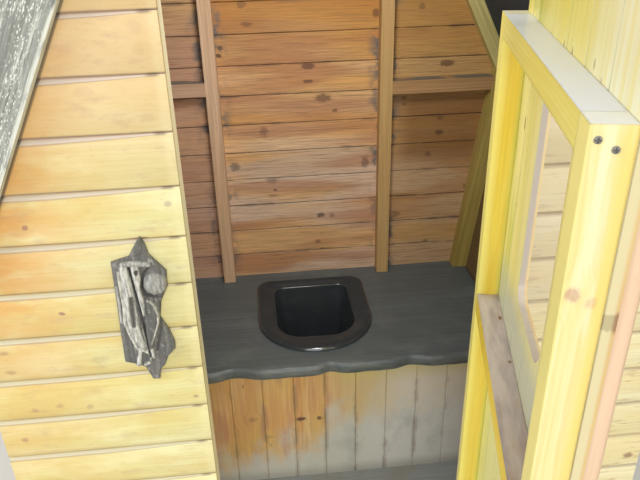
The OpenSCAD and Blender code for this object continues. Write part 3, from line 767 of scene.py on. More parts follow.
inner_pine.stain_and_painted_light("#7A4E30", 0.45, (7, 340, 340), 0.54, 0.66, 2.9, 3.0)
inner_pine.stain_and_painted_light("#8A5C3C", 0.4, (9, 620, 620), 0.50, 0.62, 5.9, 2.0)
post_side = abs(abs(along) - 0.262)
mould = step(post_side, 0.020, 0.065, 1.0, 0.0) * inner_pine.patches((26, 20, 20), 0.44, 0.6, 9.1, 5.0)
mould = mould * inner_pine.patches((5, 5, 5), 0.36, 0.56, 5.5, 1.0)
inner_pine.cover(mould * 0.9, "#5C6264")
inner_pine.seam(0.0095, 0.0080, "#6A5044", inner_pine.patches((9, 30, 30), 0.5, 0.66, 6.6, 4.0) * 0.6)
inner_pine.seam(0.0026, 0.0022, "#3A2A22", inner_pine.patches((16, 20, 20), 0.25, 0.5, 3.9) * 0.9)
# Its ends stand out past the leaning side walls, in the open
outdoors = step(abs(along) - rise * lean, base_half + 0.006, base_half + 0.010)
inner_pine.other_face(clad_thick, *varnished, also=outdoors, **faint_grain)
fit(back_stack.mesh("back_boards"), inner_pine.done(0.5, 0.35, coat=0.1), "back_wall")


# The side walls: the same boards laid level on the leaning corner posts, shelves outside and plain joints inside.
# Outside they are varnished like the front; inside they are dark and brown.
def leaning(side):
    """The place on a side wall: along runs back, across runs up the slope and depth outwards from the outer face."""
    foot = Vector((base_half + side_out * lean_k, 0, floor_z))
    out = Vector((1, 0, -lean)).normalized()

    def place(y, across, depth):
        spot = foot + wall_up * across + out * depth
        return (side * spot.x, y, spot.z)
    return place


# Along the slope, the outer face runs up to the roof boards
top_outer = corner_rise * lean_k
for side, label in hut_sides:
    stack = level_boards(front_joint * lean_k, wall_foot * lean_k, top_outer, lambda a: (frame_front, frame_back),
                         leaning(side), 9.1 + side, 0.23)
    side_pine = weathered_pine("side_pine_" + label, *varnished)
    side_pine.seam(*joint_shade_and_shelf_band)
    side_pine.cover(side_pine.behind(clad_thick) * 0.85, "#5A3C24")
    fit(stack.mesh("side_boards_" + label), side_pine.done(0.5, 0.3, coat=0.1), "side_wall_" + label)


# The roof: weathered boards laid level from the eaves up, each lapping over the one below it,
# nailed to the rafters. Their underside is nearly black.
deck_thick, eave_drop = 0.025, 0.060
roof_out = side_gap + deck_thick
eave_x, eave_z = shoulder_half + run * eave_drop, shoulder_h - eave_drop + floor_z
roof_long = eave_x * run_k / run
roof_normal = Vector((1, 0, run)).normalized()


def sloping(side):
    """The place on a roof side: along runs back, across runs up from the eave, and depth out from the face."""
    foot = Vector((eave_x, 0, eave_z)) + roof_normal * roof_out

    def place(y, across, depth):
        # The upper end is cut upright at the ridge
        most = (eave_x + (roof_out + depth) / run_k) * run_k / run
        spot = foot + roof_up * min(across, most) + roof_normal * depth
        return (side * spot.x, y, spot.z)
    return place


lap_count = 12
pitch_up = roof_long / lap_count
lapped = ([(0.0, -0.002), (0.001, -0.0006), (0.003, 0.0)], [(0.0, -0.010), (0.001, -0.010), (0.002, -0.0098)])
for side, label in hut_sides:
    stack = Stack()
    for i in range(lap_count):
        past = 0.02 if i == lap_count - 1 else 0
        lay_board(stack, i * pitch_up, (i + 1) * pitch_up + past, lambda a: (front_y, back_y), sloping(side),
                  12.2 + side * 3 + 0.41 * i, deck_thick, lapped, flat_back, steps=12, bow=0.0015)
    roof_wood = Finish("roof_wood_" + label)
    roof_wood.wood("#8E908C", "#747674", "#4E504E", "#2E2E2C", streak=0.75, ring=0.4).vary(0.8, 1.1)
    roof_wood.stain_and_painted_light("#B9BCAE", 1.0, (30, 40, 40), 0.6, 0.72, 1.3, 5.0, rough=0.95)
    roof_wood.stain_and_painted_light("#5C6A48", 0.5, (8, 12, 12), 0.55, 0.7, 6.1)
    roof_wood.cover(step(roof_wood.lay[2], -0.018, -0.023), "#333A40")
    fit(stack.mesh("roof_boards_" + label), roof_wood.done(0.85, 0.6, 0.001), "roof_" + label)

ridge = Finish("ridge_wood", into_hut, upright, 0.47, 0.095)
ridge.wood("#A0A29C", "#82847E", "#585A56", "#363632", streak=0.7, ring=0.35)
ridge.stain_and_painted_light("#C9CCBE", 1.0, (24, 34, 34), 0.58, 0.7, 2.3, 5.0, rough=0.95)
dress("ridge_cap", ridge.done(0.9, 0.6, 0.001), 0.004)


# The barge boards: bare sawn boards nailed over the ends of the roof boards. They have weathered grey,
# with white lichen in specks and streaks along the grain and a paler worn lower edge.
barge_high, barge_over = 0.115, 0.030
outer = Vector((eave_x, 0, eave_z)) + roof_normal * (roof_out + barge_over)
for (end_y, end), (side, label) in itertools.product(((-1, "front"), (1, "back")), hut_sides):
    along, across = handed(roof_up, side), handed(roof_normal, side)
    start = handed(outer, side).dot(across) - barge_high
    node = f"barge_board_{end}_{label}"
    barge = Finish(node, along, across, 0.2 + 0.3 * side + 0.17 * end_y, barge_high, start)
    barge.wood("#C4C6BC", "#A8AAA2", "#70726C", "#4A4A44", streak=0.85, ring=0.3)
    barge.stain_and_painted_light("#83847B", 1.0, (5, 110, 110), 0.50, 0.68, 1.9, 4.0, rough=0.9)
    barge.stain_and_painted_light("#E0E2D6", 0.7, (14, 170, 170), 0.51, 0.66, 3.9, 5.0, rough=0.95)
    ragged = cloud(barge.lay, (300, 500, 500), 3.0).vector("MULTIPLY", (0.9, 0.9, 0.9))
    for spread, size, shift in (((55, 190, 190), 0.32, 6.4), ((140, 340, 340), 0.42, 8.8)):
        spots = barge.lay.vector("MULTIPLY", spread).vector("ADD", ragged)
        spots = put(barge.tree, "TexVoronoi", spots, None, 1.0)
        dots = step(spots, size, size * 0.3) * barge.patches((10, 40, 40), 0.37, 0.55, shift)
        barge.cover(dots * 0.9, "#EFF0E6", 0.95)
    barge.stain_and_painted_light("#D8D9CC", step(barge.across, 0.008, 0.003), (14, 70, 70), 0.30, 0.5, rough=0.95)
    dress(node, barge.done(0.9, 0.8, 0.0012))


# The bench: upright pine boards on two bearers close its front. They were varnished with the walls;
# dust and splashed dirt have turned their lower half grey.
bench_h, bench_thick, bench_lip, bench_wave = 0.436, 0.035, 0.032, 0.017
bench_front_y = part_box("bench_front")[0].y
bench_under = bench_h - bench_thick
for count, node in enumerate(("bench_bearer_front", "bench_bearer_back")):
    bearer = Finish(node, across_hut, upright, 0.31 + count, 0.04)
    bearer.wood("#CFA060", "#B8883C", "#8A5E2C", "#4A2E1A")
    dress(node, bearer.done(0.6), 0.002)

panel_pitch, panel_joint, panel_pixel = 0.0893, -0.259, 0.0024
bench_half = base_half + lean * bench_under
panel_knots = [(rise, x, long * panel_pixel, wide * panel_pixel, dark) for (x, rise), long, wide, dark in (
    (seen_at(301, 419, bench_front_y), 3.6, 6.5, 0.75), (seen_at(318, 418, bench_front_y), 3.6, 6, 0.8),
    (seen_at(253, 420, bench_front_y), 4, 7, 0.3), (seen_at(270, 437, bench_front_y), 3, 6, 0.3),
    (seen_at(243, 387, bench_front_y), 4, 1, 0.5), (seen_at(271, 445, bench_front_y), 3, 1, 0.5),
)]
panel_stack = Stack(panel_knots, 0.0)
narrowest = 0.003


def on_bench(rise, x, depth):
    """The outer boards end on the leaning side walls."""
    half = base_half + lean * rise
    return (max(-half, min(half, x)), bench_front_y - depth, floor_z + rise)


for i in range(-3, 10):
    left, right = panel_joint + i * panel_pitch, panel_joint + (i + 1) * panel_pitch
    if right > -base_half + narrowest and left < base_half - narrowest:
        lay_board(panel_stack, left, right, lambda a: (0.0, bench_under), on_bench, 15.4 + 0.53 * i, clad_thick,
                  (vee, vee), flat_back, (-bench_half, bench_half), steps=8, bow=0.0005)
panel = Finish("bench_pine")
panel.wood("#FFDEA0", "#F8C47C", "#D6935A", "#5C3440", streak=0.4, ring=0.25, blot=0.8).vary(0.9, 1.06)
height, place_x = panel.lay[0], panel.lay[1]
panel.stain_and_painted_light("#F2CE72", 0.5, (3, 13, 13), 0.42, 0.66, 3.1, 1.0)
panel.stain_and_painted_light("#CC8474", 0.5, (4, 24, 24), 0.5, 0.68, 6.9, 2.0)
# Paler towards the right, where the boards are beige; painted light raises them further against the shade of the open
# door.
panel.cover(step(place_x, 0.0, 0.10) * 0.75, "#F2DDA6")
panel.cover(step(place_x, 0.10, 0.26) * 0.9, "#FFF8E6")
panel.cover(step(place_x, -0.02, 0.10) * step(height, 0.33, 0.40) * 0.6, "#EEE084")
luck = put(panel.tree, "TexWhiteNoise", None, panel.number + 0.77, noise_dimensions="1D")
wavy = (cloud(panel.lay, (9, 12, 12), 4.0, 0.65, 5.7) - 0.5) * 0.30
dust_top = step(place_x, -0.26, 0.22, 0.09, 0.25) + wavy + (luck - 0.5) * 0.07
dust_and_painted_light = step(height - dust_top, 0.09, -0.08)
panel.cover(dust_and_painted_light * 0.92, "#E0E2DA", 0.9)
# Whiter dust at the right: dust, with painted light against the door's shade.
panel.cover(dust_and_painted_light * step(place_x, 0.0, 0.25, 0.0, 0.8), "#F8F8F2", 0.9)
panel.stain_and_painted_light("#BCC1BA", dust_and_painted_light * 0.55, (9, 14, 14), 0.50, 0.76, 8.2, 5.0, rough=0.9)
panel.cover(step(height, 0.05, 0.0) * 0.6, "#A3A49C", 0.9)
panel.seam(0.0024, 0.0024, "#9A7650", 0.3)
panel.seam(0.012, 0.010, "#9A8A78", panel.patches((10, 20, 20), 0.46, 0.64, 1.6, 4.0) * 0.5)
fit(panel_stack.mesh("bench_boards"), panel.done(0.55, 0.35, coat=0.1), "bench_front")


# The bench top: one wide board, planed and stained black, with its natural wavy front edge rounded over.
# It is cut out round the posts and for the seat's tub.
bench_lip_y = bench_front_y - bench_lip
hollows = ((-0.240, 0.045, 1.0), (0.025, 0.026, 0.7), (0.255, 0.038, 0.8))


def front_edge(x):
    return bench_lip_y + bench_wave * sum(share * math.exp(-((x - at) / wide) ** 2) for at, wide, share in hollows)


edge_r = 0.011
arc = [math.radians(a) for a in (0, 22.5, 45, 67.5, 90)]
points = []
slice_count = 128
foot_z, head_z = floor_z + bench_under, floor_z + bench_h
for j in range(slice_count + 1):
    x = -bench_half + 2 * bench_half * j / slice_count
    ripple = 0.0012 * math.sin(31 * x + 1) + 0.0008 * math.sin(83 * x)
    y = front_edge(x) + abs(ripple)
    section = [(frame_back, foot_z)]
    section += [(y + edge_r - edge_r * math.sin(a), foot_z + edge_r - edge_r * math.cos(a)) for a in arc]
    section += [(y + edge_r - edge_r * math.cos(a), head_z - edge_r + edge_r * math.sin(a)) for a in arc]
    section += [(frame_back, head_z)]
    points += [(x, b, c) for b, c in section]
count = len(section)
caps = [list(range(count)), [slice_count * count + i for i in reversed(range(count))]]
slab = built("bench_slab", points, bands(0, slice_count, count) + caps)

seat_x, seat_r, seat_len, seat_corner = 0.004, 0.174, 0.225, 0.045
seat_round_y = (bench_lip_y + frame_back + seat_r - seat_len) / 2
tub_half, tub_len, tub_front, tub_front_r, tub_rear_r = 0.118, 0.284, 0.104, 0.080, 0.028
tub_y = seat_round_y + tub_len / 2 - tub_front
tub_wall, tub_gap, tub_deep, tub_taper = 0.004, 0.003, 0.220, 0.65


def around(outline, count):
    """Points of a closed outline, seen from the tub's middle at equal angles. outline(x, y) is negative inside."""
    ring = []
    for i in range(count):
        angle = 2 * math.pi * i / count
        low, high = 0.0, 0.5
        for _ in range(40):
            mid = (low + high) / 2
            if outline(mid * math.cos(angle), mid * math.sin(angle)) < 0:
                low = mid
            else:
                high = mid
        ring.append((low * math.cos(angle), low * math.sin(angle)))
    return ring


def rounded(x, y, half_x, low, high, r_low, r_high):
    """Signed distance to a box with rounded corners, of one radius in front and another behind."""
    r = r_low if y < (low + high) / 2 else r_high
    qx, qy = abs(x) - half_x + r, max(low + r - y, y - high + r)
    return math.hypot(max(qx, 0), max(qy, 0)) + min(max(qx, qy), 0) - r


def tub_ring(grow, count):
    return around(lambda x, y: rounded(x, y, tub_half + grow, -tub_len / 2 - grow, tub_len / 2 + grow,
                                       tub_front_r + grow, tub_rear_r + grow), count)


def seat_ring(grow, count):
    shift_y = tub_y - seat_round_y
    return around(lambda x, y: rounded(x, y + shift_y, seat_r + grow, -seat_r - grow, seat_len + grow,
                                       seat_r + grow, seat_corner + grow), count)


low_z, high_z = foot_z - 0.01, head_z + 0.01


def prism(name, lower, upper=None):
    """A block on an outline, or between two of them, that cuts through the bench top."""
    n = len(lower)
    points = [(x, y, low_z) for x, y in lower] + [(x, y, high_z) for x, y in upper or lower]
    caps = [list(reversed(range(n))), list(range(n, 2 * n))]
    return bpy.data.objects.new(name, built(name, points, caps + bands(0, 1, n)))


post_gap, corner_post_w, outside = 0.0007, 0.047, (0.8, 0.6)
cutters = [prism("tub_cut", [(seat_x + x, tub_y + y) for x, y in tub_ring(tub_wall + tub_gap, 96)])]
for node in ("back_post_left", "back_post_right"):
    (x0, y0, _), (x1, y1, _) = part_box(node)
    x0, y0, x1, y1 = x0 - post_gap, y0 - post_gap, x1 + post_gap, y1 + 0.01
    cutters.append(prism(node + "_cut", [(x0, y0), (x1, y0), (x1, y1), (x0, y1)]))
y0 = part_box("corner_post_back_left")[0].y - post_gap
for sign in (-1, 1):
    outlines = []
    for z in (low_z, high_z):
        inner = base_half + lean * (z - floor_z) - (corner_post_w + post_gap) * lean_k
        outline = [(inner, y0), (outside[0], y0), outside, (inner, outside[1])]
        outlines.append([(sign * x, y) for x, y in outline[::sign]])
    cutters.append(prism("corner_cut", *outlines))


def carve(name, mesh, cutters):
    """The mesh with the cutters taken out of it."""
    piece = bpy.data.objects.new(name + "_blank", mesh)
    scene.collection.objects.link(piece)
    for cutter in cutters:
        scene.collection.objects.link(cutter)
        cut = piece.modifiers.new(cutter.name, "BOOLEAN")
        cut.operation = "DIFFERENCE"
        cut.solver = "EXACT"
        cut.object = cutter
    bpy.context.view_layer.update()
    carved = bpy.data.meshes.new_from_object(piece.evaluated_get(bpy.context.evaluated_depsgraph_get()))
    carved.name = name
    for done in [piece] + cutters:
        bpy.data.objects.remove(done)
    return carved


slab = carve("bench_top_board", slab, cutters)
tidy_normals(slab, 35)
stained = Finish("stained_board", across_hut, into_hut, 0.83, 0.55, bench_lip_y)
stained.wood("#6E7A7C", "#646E70", "#50585A", "#3F4445", streak=0.5, ring=0.3, blot=0.7)
stained.stain_and_painted_light("#7A8280", 0.5, (8, 10, 10), 0.52, 0.72, 2.9, rough=0.6)
worn = step(stained.across, 0.030, 0.004)
stained.stain_and_painted_light("#8A8C88", worn * 0.6, (16, 60, 60), 0.3, 0.7, rough=0.6)
fit(slab, stained.done(0.42, 0.35, coat=0.15), "bench_top")


# The seat: one moulding of glossy black plastic. A flat flange with a rounded rim lies on the bench top,
# and dips to a tub that hangs through it, square behind and round in front, narrower and closed at its foot.
ring_count = 128
rim_h, rim_r, ring_w, dish = 0.012, 0.008, 0.016, 0.006
throat_r, throat_w = 0.004, 0.006
inner_deep = tub_deep - tub_wall
seat_line, tub_line = seat_ring(-ring_w, ring_count), tub_ring(0.0, ring_count)
tub_outer = tub_ring(tub_wall, ring_count)
# Outlines with their height over the bench top and their scale: up the tub's outside, round the rim,
# over the flange and down the tub's inside
rings = [(tub_outer, -tub_deep, tub_taper * 0.93), (tub_outer, -tub_deep * 0.985, tub_taper), (tub_outer, 0.0, 1.0),
         (seat_ring(0.0, ring_count), 0.0, 1.0)]
for a in (0, 15, 30, 45, 60, 75, 90):
    inward, up = rim_r * (1 - math.cos(math.radians(a))), rim_r * math.sin(math.radians(a))
    rings.append((seat_ring(-inward, ring_count), rim_h - rim_r + up, 1.0))
rings.append((seat_ring(-ring_w + 0.003, ring_count), rim_h, 1.0))
for t in [k / 8 for k in range(1, 9)]:
    line = [(a + (c - a) * t, b + (d - b) * t) for (a, b), (c, d) in zip(seat_line, tub_line)]
    rings.append((line, rim_h - dish * t * t * (3 - 2 * t), 1.0))
for a in [math.radians(a) for a in (30, 60, 90)]:
    rings.append((tub_line, rim_h - dish - throat_r * (1 - math.cos(a)), 1 - throat_w * math.sin(a)))
for deep, drawn_in in [(k / 8 * 0.93, 1.0) for k in range(1, 9)] + [(0.985, 0.97), (1.0, 0.88)]:
    rings.append((tub_line, -inner_deep * deep, (1 - throat_w - (1 - tub_taper) * deep) * drawn_in))
points = [(seat_x + x * scale, tub_y + y * scale, head_z + z) for line, z, scale in rings for x, y in line]
caps = [list(range(ring_count)), list(range(len(points) - ring_count, len(points)))]
seat_mesh = built("seat_moulding", points, bands(0, len(rings) - 1, ring_count) + caps, 50)
plastic = bare_material("black_plastic")
place = put(plastic.node_tree, "TexCoord", out="Object")
dusty = step(cloud(place, (22, 22, 22), 5.0, 0.65, 1.0), 0.5, 0.75)
rubbed = step(cloud(place, (120, 120, 120), 3.0, 0.6, 4.0), 0.35, 0.7)
sheen = put(place.tree, "MapRange", dusty * 0.6 + rubbed * 0.4, 0.0, 1.0, 0.30, 0.50)
# The rounded rims are rubbed bright
curved = step(put(place.tree, "NewGeometry", out=1)[2], 0.985, 0.90)
shaded(plastic, blended(dusty * 0.6, colour("#3A4044"), colour("#4E5356")), sheen, rubbed, 0.12, 0.0004, None,
       {"Specular IOR Level": 0.15, "Coat Weight": curved, "Coat Roughness": 0.12, "Coat IOR": 2.0})
fit(seat_mesh, plastic, "seat_insert")


# The door's boards: six upright pine boards behind the frame of stiles and rails, with the window sawn
# through the middle two. The door hangs on the right and stands open, so its inner side shows.
hinge_x, hinge_y = (frame["record"]["behaviour"]["joints"][0]["pos_m"][i] for i in (0, 1))
door_open = math.radians(77)
door_left, door_right, door_foot, door_top = -0.249, 0.306, 0.008, 1.594
door_mid = (door_left + door_right) / 2
door_along = Vector((math.cos(door_open), math.sin(door_open), 0))
door_into = Vector((-math.sin(door_open), math.cos(door_open), 0))


def on_door(x, y, rise):
    """A place on the door in its closed position, turned with it about the hinges."""
    spot = Vector((hinge_x, hinge_y, floor_z + rise)) + door_along * (x - hinge_x) + door_into * (y - hinge_y)
    return tuple(spot)


window_w, window_r, window_low, window_high = 0.180, 0.030, 1.049, 1.375


def window_edge(x, upper):
    """The window's edge over or under a point across the door, with its rounded corners."""
    over = max(0.0, abs(x - door_mid) - (window_w / 2 - window_r))
    curve = window_r - math.sqrt(max(0.0, window_r ** 2 - min(over, window_r) ** 2))
    return window_high - curve if upper else window_low + curve


def seen_on_door(spots):
    """Knots on the boards' inner face, from where they lie in the view: place, half length and height, darkness."""
    found = []
    for px, py, long, high, dark in spots:
        spot = seen_on(px, py, on_door(door_left, frame_front, 0), door_into)
        across = hinge_x + (spot - Vector((hinge_x, hinge_y, 0))).dot(door_along)
        found.append((spot.z - floor_z, across, long, high, dark))
    return found


door_knots = seen_on_door((
    (525, 123, 0.012, 0.006, 0.8), (564, 45, 0.007, 0.004, 0.6), (572, 52, 0.007, 0.004, 0.6),
    (594, 65, 0.008, 0.004, 0.5), (600, 85, 0.008, 0.004, 0.5), (516, 205, 0.006, 0.003, 0.4),
))
free_side = on_door(door_left, frame_front, 0)
end_knot = seen_on(608, 323, free_side, door_along)
door_knots.append((end_knot.z - floor_z, door_left + 0.001, 0.012, 0.009, 0.6))
door_stack = Stack(door_knots, 0.15)
board_edges = [door_left, *(door_mid + board_pitch * k for k in (-2, -1, 0, 1, 2)), door_right]
for i, (left, right) in enumerate(zip(board_edges, board_edges[1:])):
    through = i in (2, 3)
    turns = [door_mid + s * (window_w / 2 - window_r * (1 - math.sin(math.radians(a))))
             for s in (-1, 1) for a in (0, 15, 30, 45, 60, 75, 85)] if through else []
    spans = [lambda a: (door_foot, window_edge(a, False)), lambda a: (window_edge(a, True), door_top)]
    for span in spans if through else [lambda a: (door_foot, door_top)]:
        lay_board(door_stack, left, right, span, lambda rise, x, depth: on_door(x, frame_front + depth, rise),
                  21.7 + 0.61 * i, clad_thick, (vee, vee), flat_back, None, turns, 14, bow=0.0004)
door_pine = Finish("door_pine")
rise, over = door_pine.lay[0], door_pine.lay[1]
door_pine.wood("#FFFAC4", "#F9EEA4", "#E0CE70", "#7A6438", streak=0.5, ring=0.25, blot=0.7).vary(0.94, 1.03)
door_pine.stain_and_painted_light("#FFFDE4", step(over, 0.0, -0.2) * 0.8, (1.5, 20, 20), 0.3, 0.6, 8.3)
door_pine.stain_and_painted_light("#F6DE50", 0.35, (2.2, 90, 90), 0.45, 0.62, 3.3)
door_pine.cover(step(rise, 1.40, 1.46) * step(over, -0.16, 0.05, 0.1, 0.5), "#F2EC66")
door_pine.stain_and_painted_light("#B7C23C", step(over, 0.12, 0.24) * 0.7, (3, 50, 50), 0.4, 0.65, 6.3)
door_pine.cover(step(rise, 1.07, 1.0) * step(rise, 0.93, 0.96) * 0.8, "#C0C6B4")
door_pine.cover(step(rise, 0.96, 0.93) * 0.6, "#EEF0A8")
door_pine.seam(0.003, 0.003, "#7E7A44", 0.6)
facing = abs(put(door_pine.tree, "TexCoord", out="Normal").vector("DOT_PRODUCT", tuple(door_into), out=1))
sawn = step(facing, 0.75, 0.4)
off_middle = abs(over - door_mid)
in_window = step(off_middle, 0.098, 0.094) * step(rise, 1.0, 1.03)
door_pine.cover(sawn * in_window * 0.85, "#BDB0AA", 0.8)
door_pine.cover(sawn * step(over, door_left + 0.004, door_left + 0.001), "#E2D4A4")
door_pine.other_face(clad_thick, *varnished, **faint_grain)
fit(door_stack.mesh("door_lining"), door_pine.done(0.45, 0.3, coat=0.2), "door_boards", "door")


# The door's frame: two planed stiles and three rails, screwed together, varnished bright yellow.
# The rails' tops are pale with dust, the upper one a bluish white that is also painted light from above, and the
# outer trim boards cover the ends of the lining.
gold = ("#FCEC80", "#FADC44", "#E6BC38", "#8A6028")
bright = ("#FBF3C0", "#F8E8A0", "#E8C868", "#C48C78")
lemon = ("#FFF6A2", "#FBEE80", "#EAD662", "#80602C")
door_timbers = (
    ("door_stile_hinge", upright, door_along, gold, "#E0DCC4"),
    ("door_stile_free", upright, door_into, bright, "#E8ECEE"),
    ("door_rail_upper", door_along, upright, lemon, "#E2E8FA"),
    ("door_rail_middle", door_along, door_into, gold, "#BFB5B0"),
    ("door_rail_lower", door_along, upright, gold, "#CBC0A8"),
    ("door_trim_hinge", upright, door_along, ("#F4DCB6", "#EED0A6", "#DAB380", "#9A6A3C"), "#D8CDB4"),
    ("door_trim_free", upright, door_along, ("#F6DABA", "#F0CEAC", "#DCB288", "#9A6A3C"), "#D8CDB4"),
)
outer_depth = Vector(free_side).dot(door_into)


def timber_knots(place, normal, along, spots):
    """Knots on a timber's face, from where they lie in the view: place, half length and height, darkness."""
    found = [(seen_on(px, py, place, normal), shape) for px, py, *shape in spots]
    return [(spot.dot(along), spot.dot(door_into), *shape) for spot, shape in found]


seen_knots = {
    "door_stile_free": timber_knots(free_side, door_along, Vector(upright), (
        (573, 295, 0.009, 0.008, 0.5), (585, 303, 0.007, 0.007, 0.4))),
    "door_rail_middle": timber_knots(on_door(0, 0, 0.957), Vector(upright), door_along, (
        (500, 318, 0.006, 0.003, 1.0), (510, 362, 0.004, 0.003, 0.8))),
}
for number, (node, along, across, tones, dust_and_painted_light) in enumerate(door_timbers):
    timber = Finish(node, along, across, 0.19 + 0.33 * number, 0.04, outer_depth, seen_knots.get(node, ()))
    timber.wood(*tones, streak=0.4, ring=0.2)
    spot = put(timber.tree, "TexCoord", out="Object")
    through = spot.vector("DOT_PRODUCT", tuple(door_into), out=1) - outer_depth
    if node == "door_stile_hinge":
        timber.cover(step(through, 0.020, 0.034) * 0.85, "#FFF288")
        timber.cover(step(through, 0.009, 0.002) * 0.6, "#D2D268")
    if node == "door_stile_free":
        timber.stain_and_painted_light("#F8DC7C", step(through, 0.016, 0.003), (3, 30, 30), 0.3, 0.6, 4.1)
        # Painted highlight: whitish glare in soft patches on the stile.
        timber.stain_and_painted_light("#FFFBE0", 0.4, (5, 60, 60), 0.5, 0.7, 1.1)
        # Painted light: the part nearest the stile's inner face is a brighter yellow, standing in for light on that
        # side.
        timber.cover(step(through, 0.034, 0.037), "#FFF298")
    # Each timber's top takes the colour given for it: dust, and on the upper rail also painted top light.
    top = timber.facing_up(0.35, 0.8)
    timber.cover(top * 0.97, dust_and_painted_light, 0.9)
    if node == "door_rail_middle":
        timber.stain_and_painted_light("#9F9292", top, (9, 45, 45), 0.36, 0.70, 2.0, rough=0.9)
        timber.stain_and_painted_light("#A98B70", top * 0.4, (14, 30, 30), 0.5, 0.7, 7.3, rough=0.9)
        timber.cover(timber.knot, "#3E322C", 0.9)
    timber.round = 0.005
    dress(node, timber.done(0.4, 0.3, coat=0.25))


# The door's fittings: two black steel hinges with pins, and a bar handle on two round feet,
# all painted black and rubbed at the edges.
def black_iron(name, plain="#26262A"):
    material = bare_material(name)
    place = put(material.node_tree, "TexCoord", out="Object")
    pitted = cloud(place, (260, 260, 260), 3.0)
    rust = step(cloud(place, (35, 35, 35), 4.0, 0.6, 2.0), 0.58, 0.7)
    sheen = put(place.tree, "MapRange", rust, 0.0, 1.0, 0.42, 0.8)
    return shaded(material, blended(rust, colour(plain), colour("#4A3226")), sheen, pitted, 0.3, 0.0004)


iron = black_iron("black_steel")
for node in ("hinge_wall_leaf_upper", "hinge_wall_leaf_lower", "hinge_door_leaf_upper", "hinge_door_leaf_lower",
             "door_handle"):
    dress(node, iron, 0.0008)

# Two countersunk steel screws hold the free stile to the upper rail, with a cross sunk in each dull head
screw_r, screw_high, cross_half, cross_w, cross_deep = 0.0034, 0.0015, 0.0020, 0.0005, 0.0012
screw_rows, screw_columns = 14, 40
points, faces = [], []
for px, py in ((598, 140), (616, 150)):
    middle, first = seen_on(px, py, free_side, door_along), len(points)
    for j in range(screw_rows + 1):
        for i in range(screw_columns):
            r, a = screw_r * j / screw_rows, 2 * math.pi * i / screw_columns
            u, v = r * math.cos(a), r * math.sin(a)
            out = screw_high * (max(0.0, 1 - (j / screw_rows) ** 4)) ** 0.5 - (0.0006 if j == screw_rows else 0.0)
            if r < cross_half and min(abs(u), abs(v)) < cross_w:
                out -= cross_deep
            points.append(middle + door_into * u + Vector((0, 0, v)) - door_along * out)
    faces += bands(first, screw_rows, screw_columns)
    faces.append([first + screw_rows * screw_columns + i for i in range(screw_columns)])
screw_mesh = built("door_screws", points, faces)
screw_heads = bpy.data.objects.new("door_screws", screw_mesh)
scene.collection.objects.link(screw_heads)
screw_mesh.materials.append(black_iron("dull_screw_steel", "#85817A"))
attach(screw_heads, "door")


# The plaque: a flat piece of silver-grey driftwood, screwed to the boards beside the doorway. Its grain stands
# out as a long split stem, a round knot and a leaf, pale on their crests from bleaching and painted highlights,
# and dark in the hollows, partly with painted shade.
plaque_x, plaque_z, plaque_back, plaque_relief = -0.350, floor_z + 0.946, 0.008, 0.009
plaque_line = [  # millimetres from its middle, from the top round by the left side
    (12, 147), (4, 135), (-10, 112), (-41, 103), (-43, 37), (-46, -35), (-48, -100), (-27, -107), (-14, -115),
    (-4, -144), (9, -145), (12, -125), (22, -114), (30, -95), (44, -81), (45, -66), (38, -39), (26, -11), (32, 22),
    (46, 49), (48, 80), (23, 113), (19, 134),
]
# A stroke's paleness stands for bleaching and for painted highlights on the crests.
strokes = (  # how high, how bleached, how dark, and the points with half widths
    (1.00, 0.75, 0.0, ((-20, 92, 9), (-21, 64, 11), (-21, 38, 11), (-22, 7, 12), (-21, -24, 12), (-16, -50, 9),
                       (-11, -69, 6))),
    (0.85, 0.80, 0.0, ((-3, 92, 7), (-2, 67, 7), (-1, 41, 5), (0, 19, 4), (0, -1, 2))),
    (0.75, 0.45, 0.0, ((-22, 100, 5), (-1, 101, 6), (20, 97, 5))),
    (1.00, 0.40, 0.0, ((27, 60, 21), (27, 59, 21))),
    (0.70, 0.05, 0.3, ((9, 27, 6), (13, 4, 12), (11, -22, 12), (4, -49, 8), (1, -78, 4))),
    (0.80, 0.85, 0.0, ((10, 29, 2), (19, 19, 2), (24, -1, 2), (22, -19, 2), (14, -41, 2), (5, -64, 1))),
    (0.65, 0.70, 0.0, ((-6, -21, 2), (-4, -49, 3), (-2, -77, 3), (-1, -97, 2))),
    (0.85, 1.00, 0.0, ((-15, -69, 3), (-20, -90, 4), (-24, -107, 4))),
    (0.90, 1.00, 0.0, ((-17, -71, 3), (-10, -74, 4), (-5, -79, 3))),
    (0.80, 0.90, 0.0, ((-12, -106, 3), (-3, -103, 3))),
    (0.75, 0.80, 0.0, ((4, -74, 3), (5, -92, 3))),
    (0.30, 0.55, 0.0, ((-38, 56, 3), (-39, 22, 3), (-40, -15, 3))),
    (1.05, 1.00, 0.0, ((-31, 86, 2), (-31, 52, 3), (-31, 22, 3), (-34, -14, 3), (-28, -44, 3), (-20, -71, 2))),
    (0.40, 0.00, 0.1, ((12, 140, 5), (6, 122, 7))),
    (0.50, 0.00, 0.2, ((33, -78, 8), (28, -100, 6))),
)
# The hollows are darkened, partly as painted shade.
hollows_dark_and_shade = (  # how deep, how dark, and the points with half widths
    (1.00, 1.0, ((-13, 96, 1.5), (-10, 67, 1.8), (-7, 33, 1.8), (-5, -1, 2.2), (-4, -26, 1.8), (-2, -58, 1.6),
                 (-1, -90, 1.4))),
    (0.35, 0.6, ((-16, 36, 4), (-18, 7, 5), (-19, -20, 4))),
    (0.60, 0.9, ((-1, 86, 4), (-1, 82, 3))),
    (0.50, 0.8, ((20, 92, 2), (8, 76, 2.5), (4, 56, 3), (6, 38, 3.5), (20, 33, 4), (33, 31, 3))),
    (0.30, 0.7, ((30, 20, 3), (29, -10, 3), (22, -45, 3), (12, -80, 3))),
)


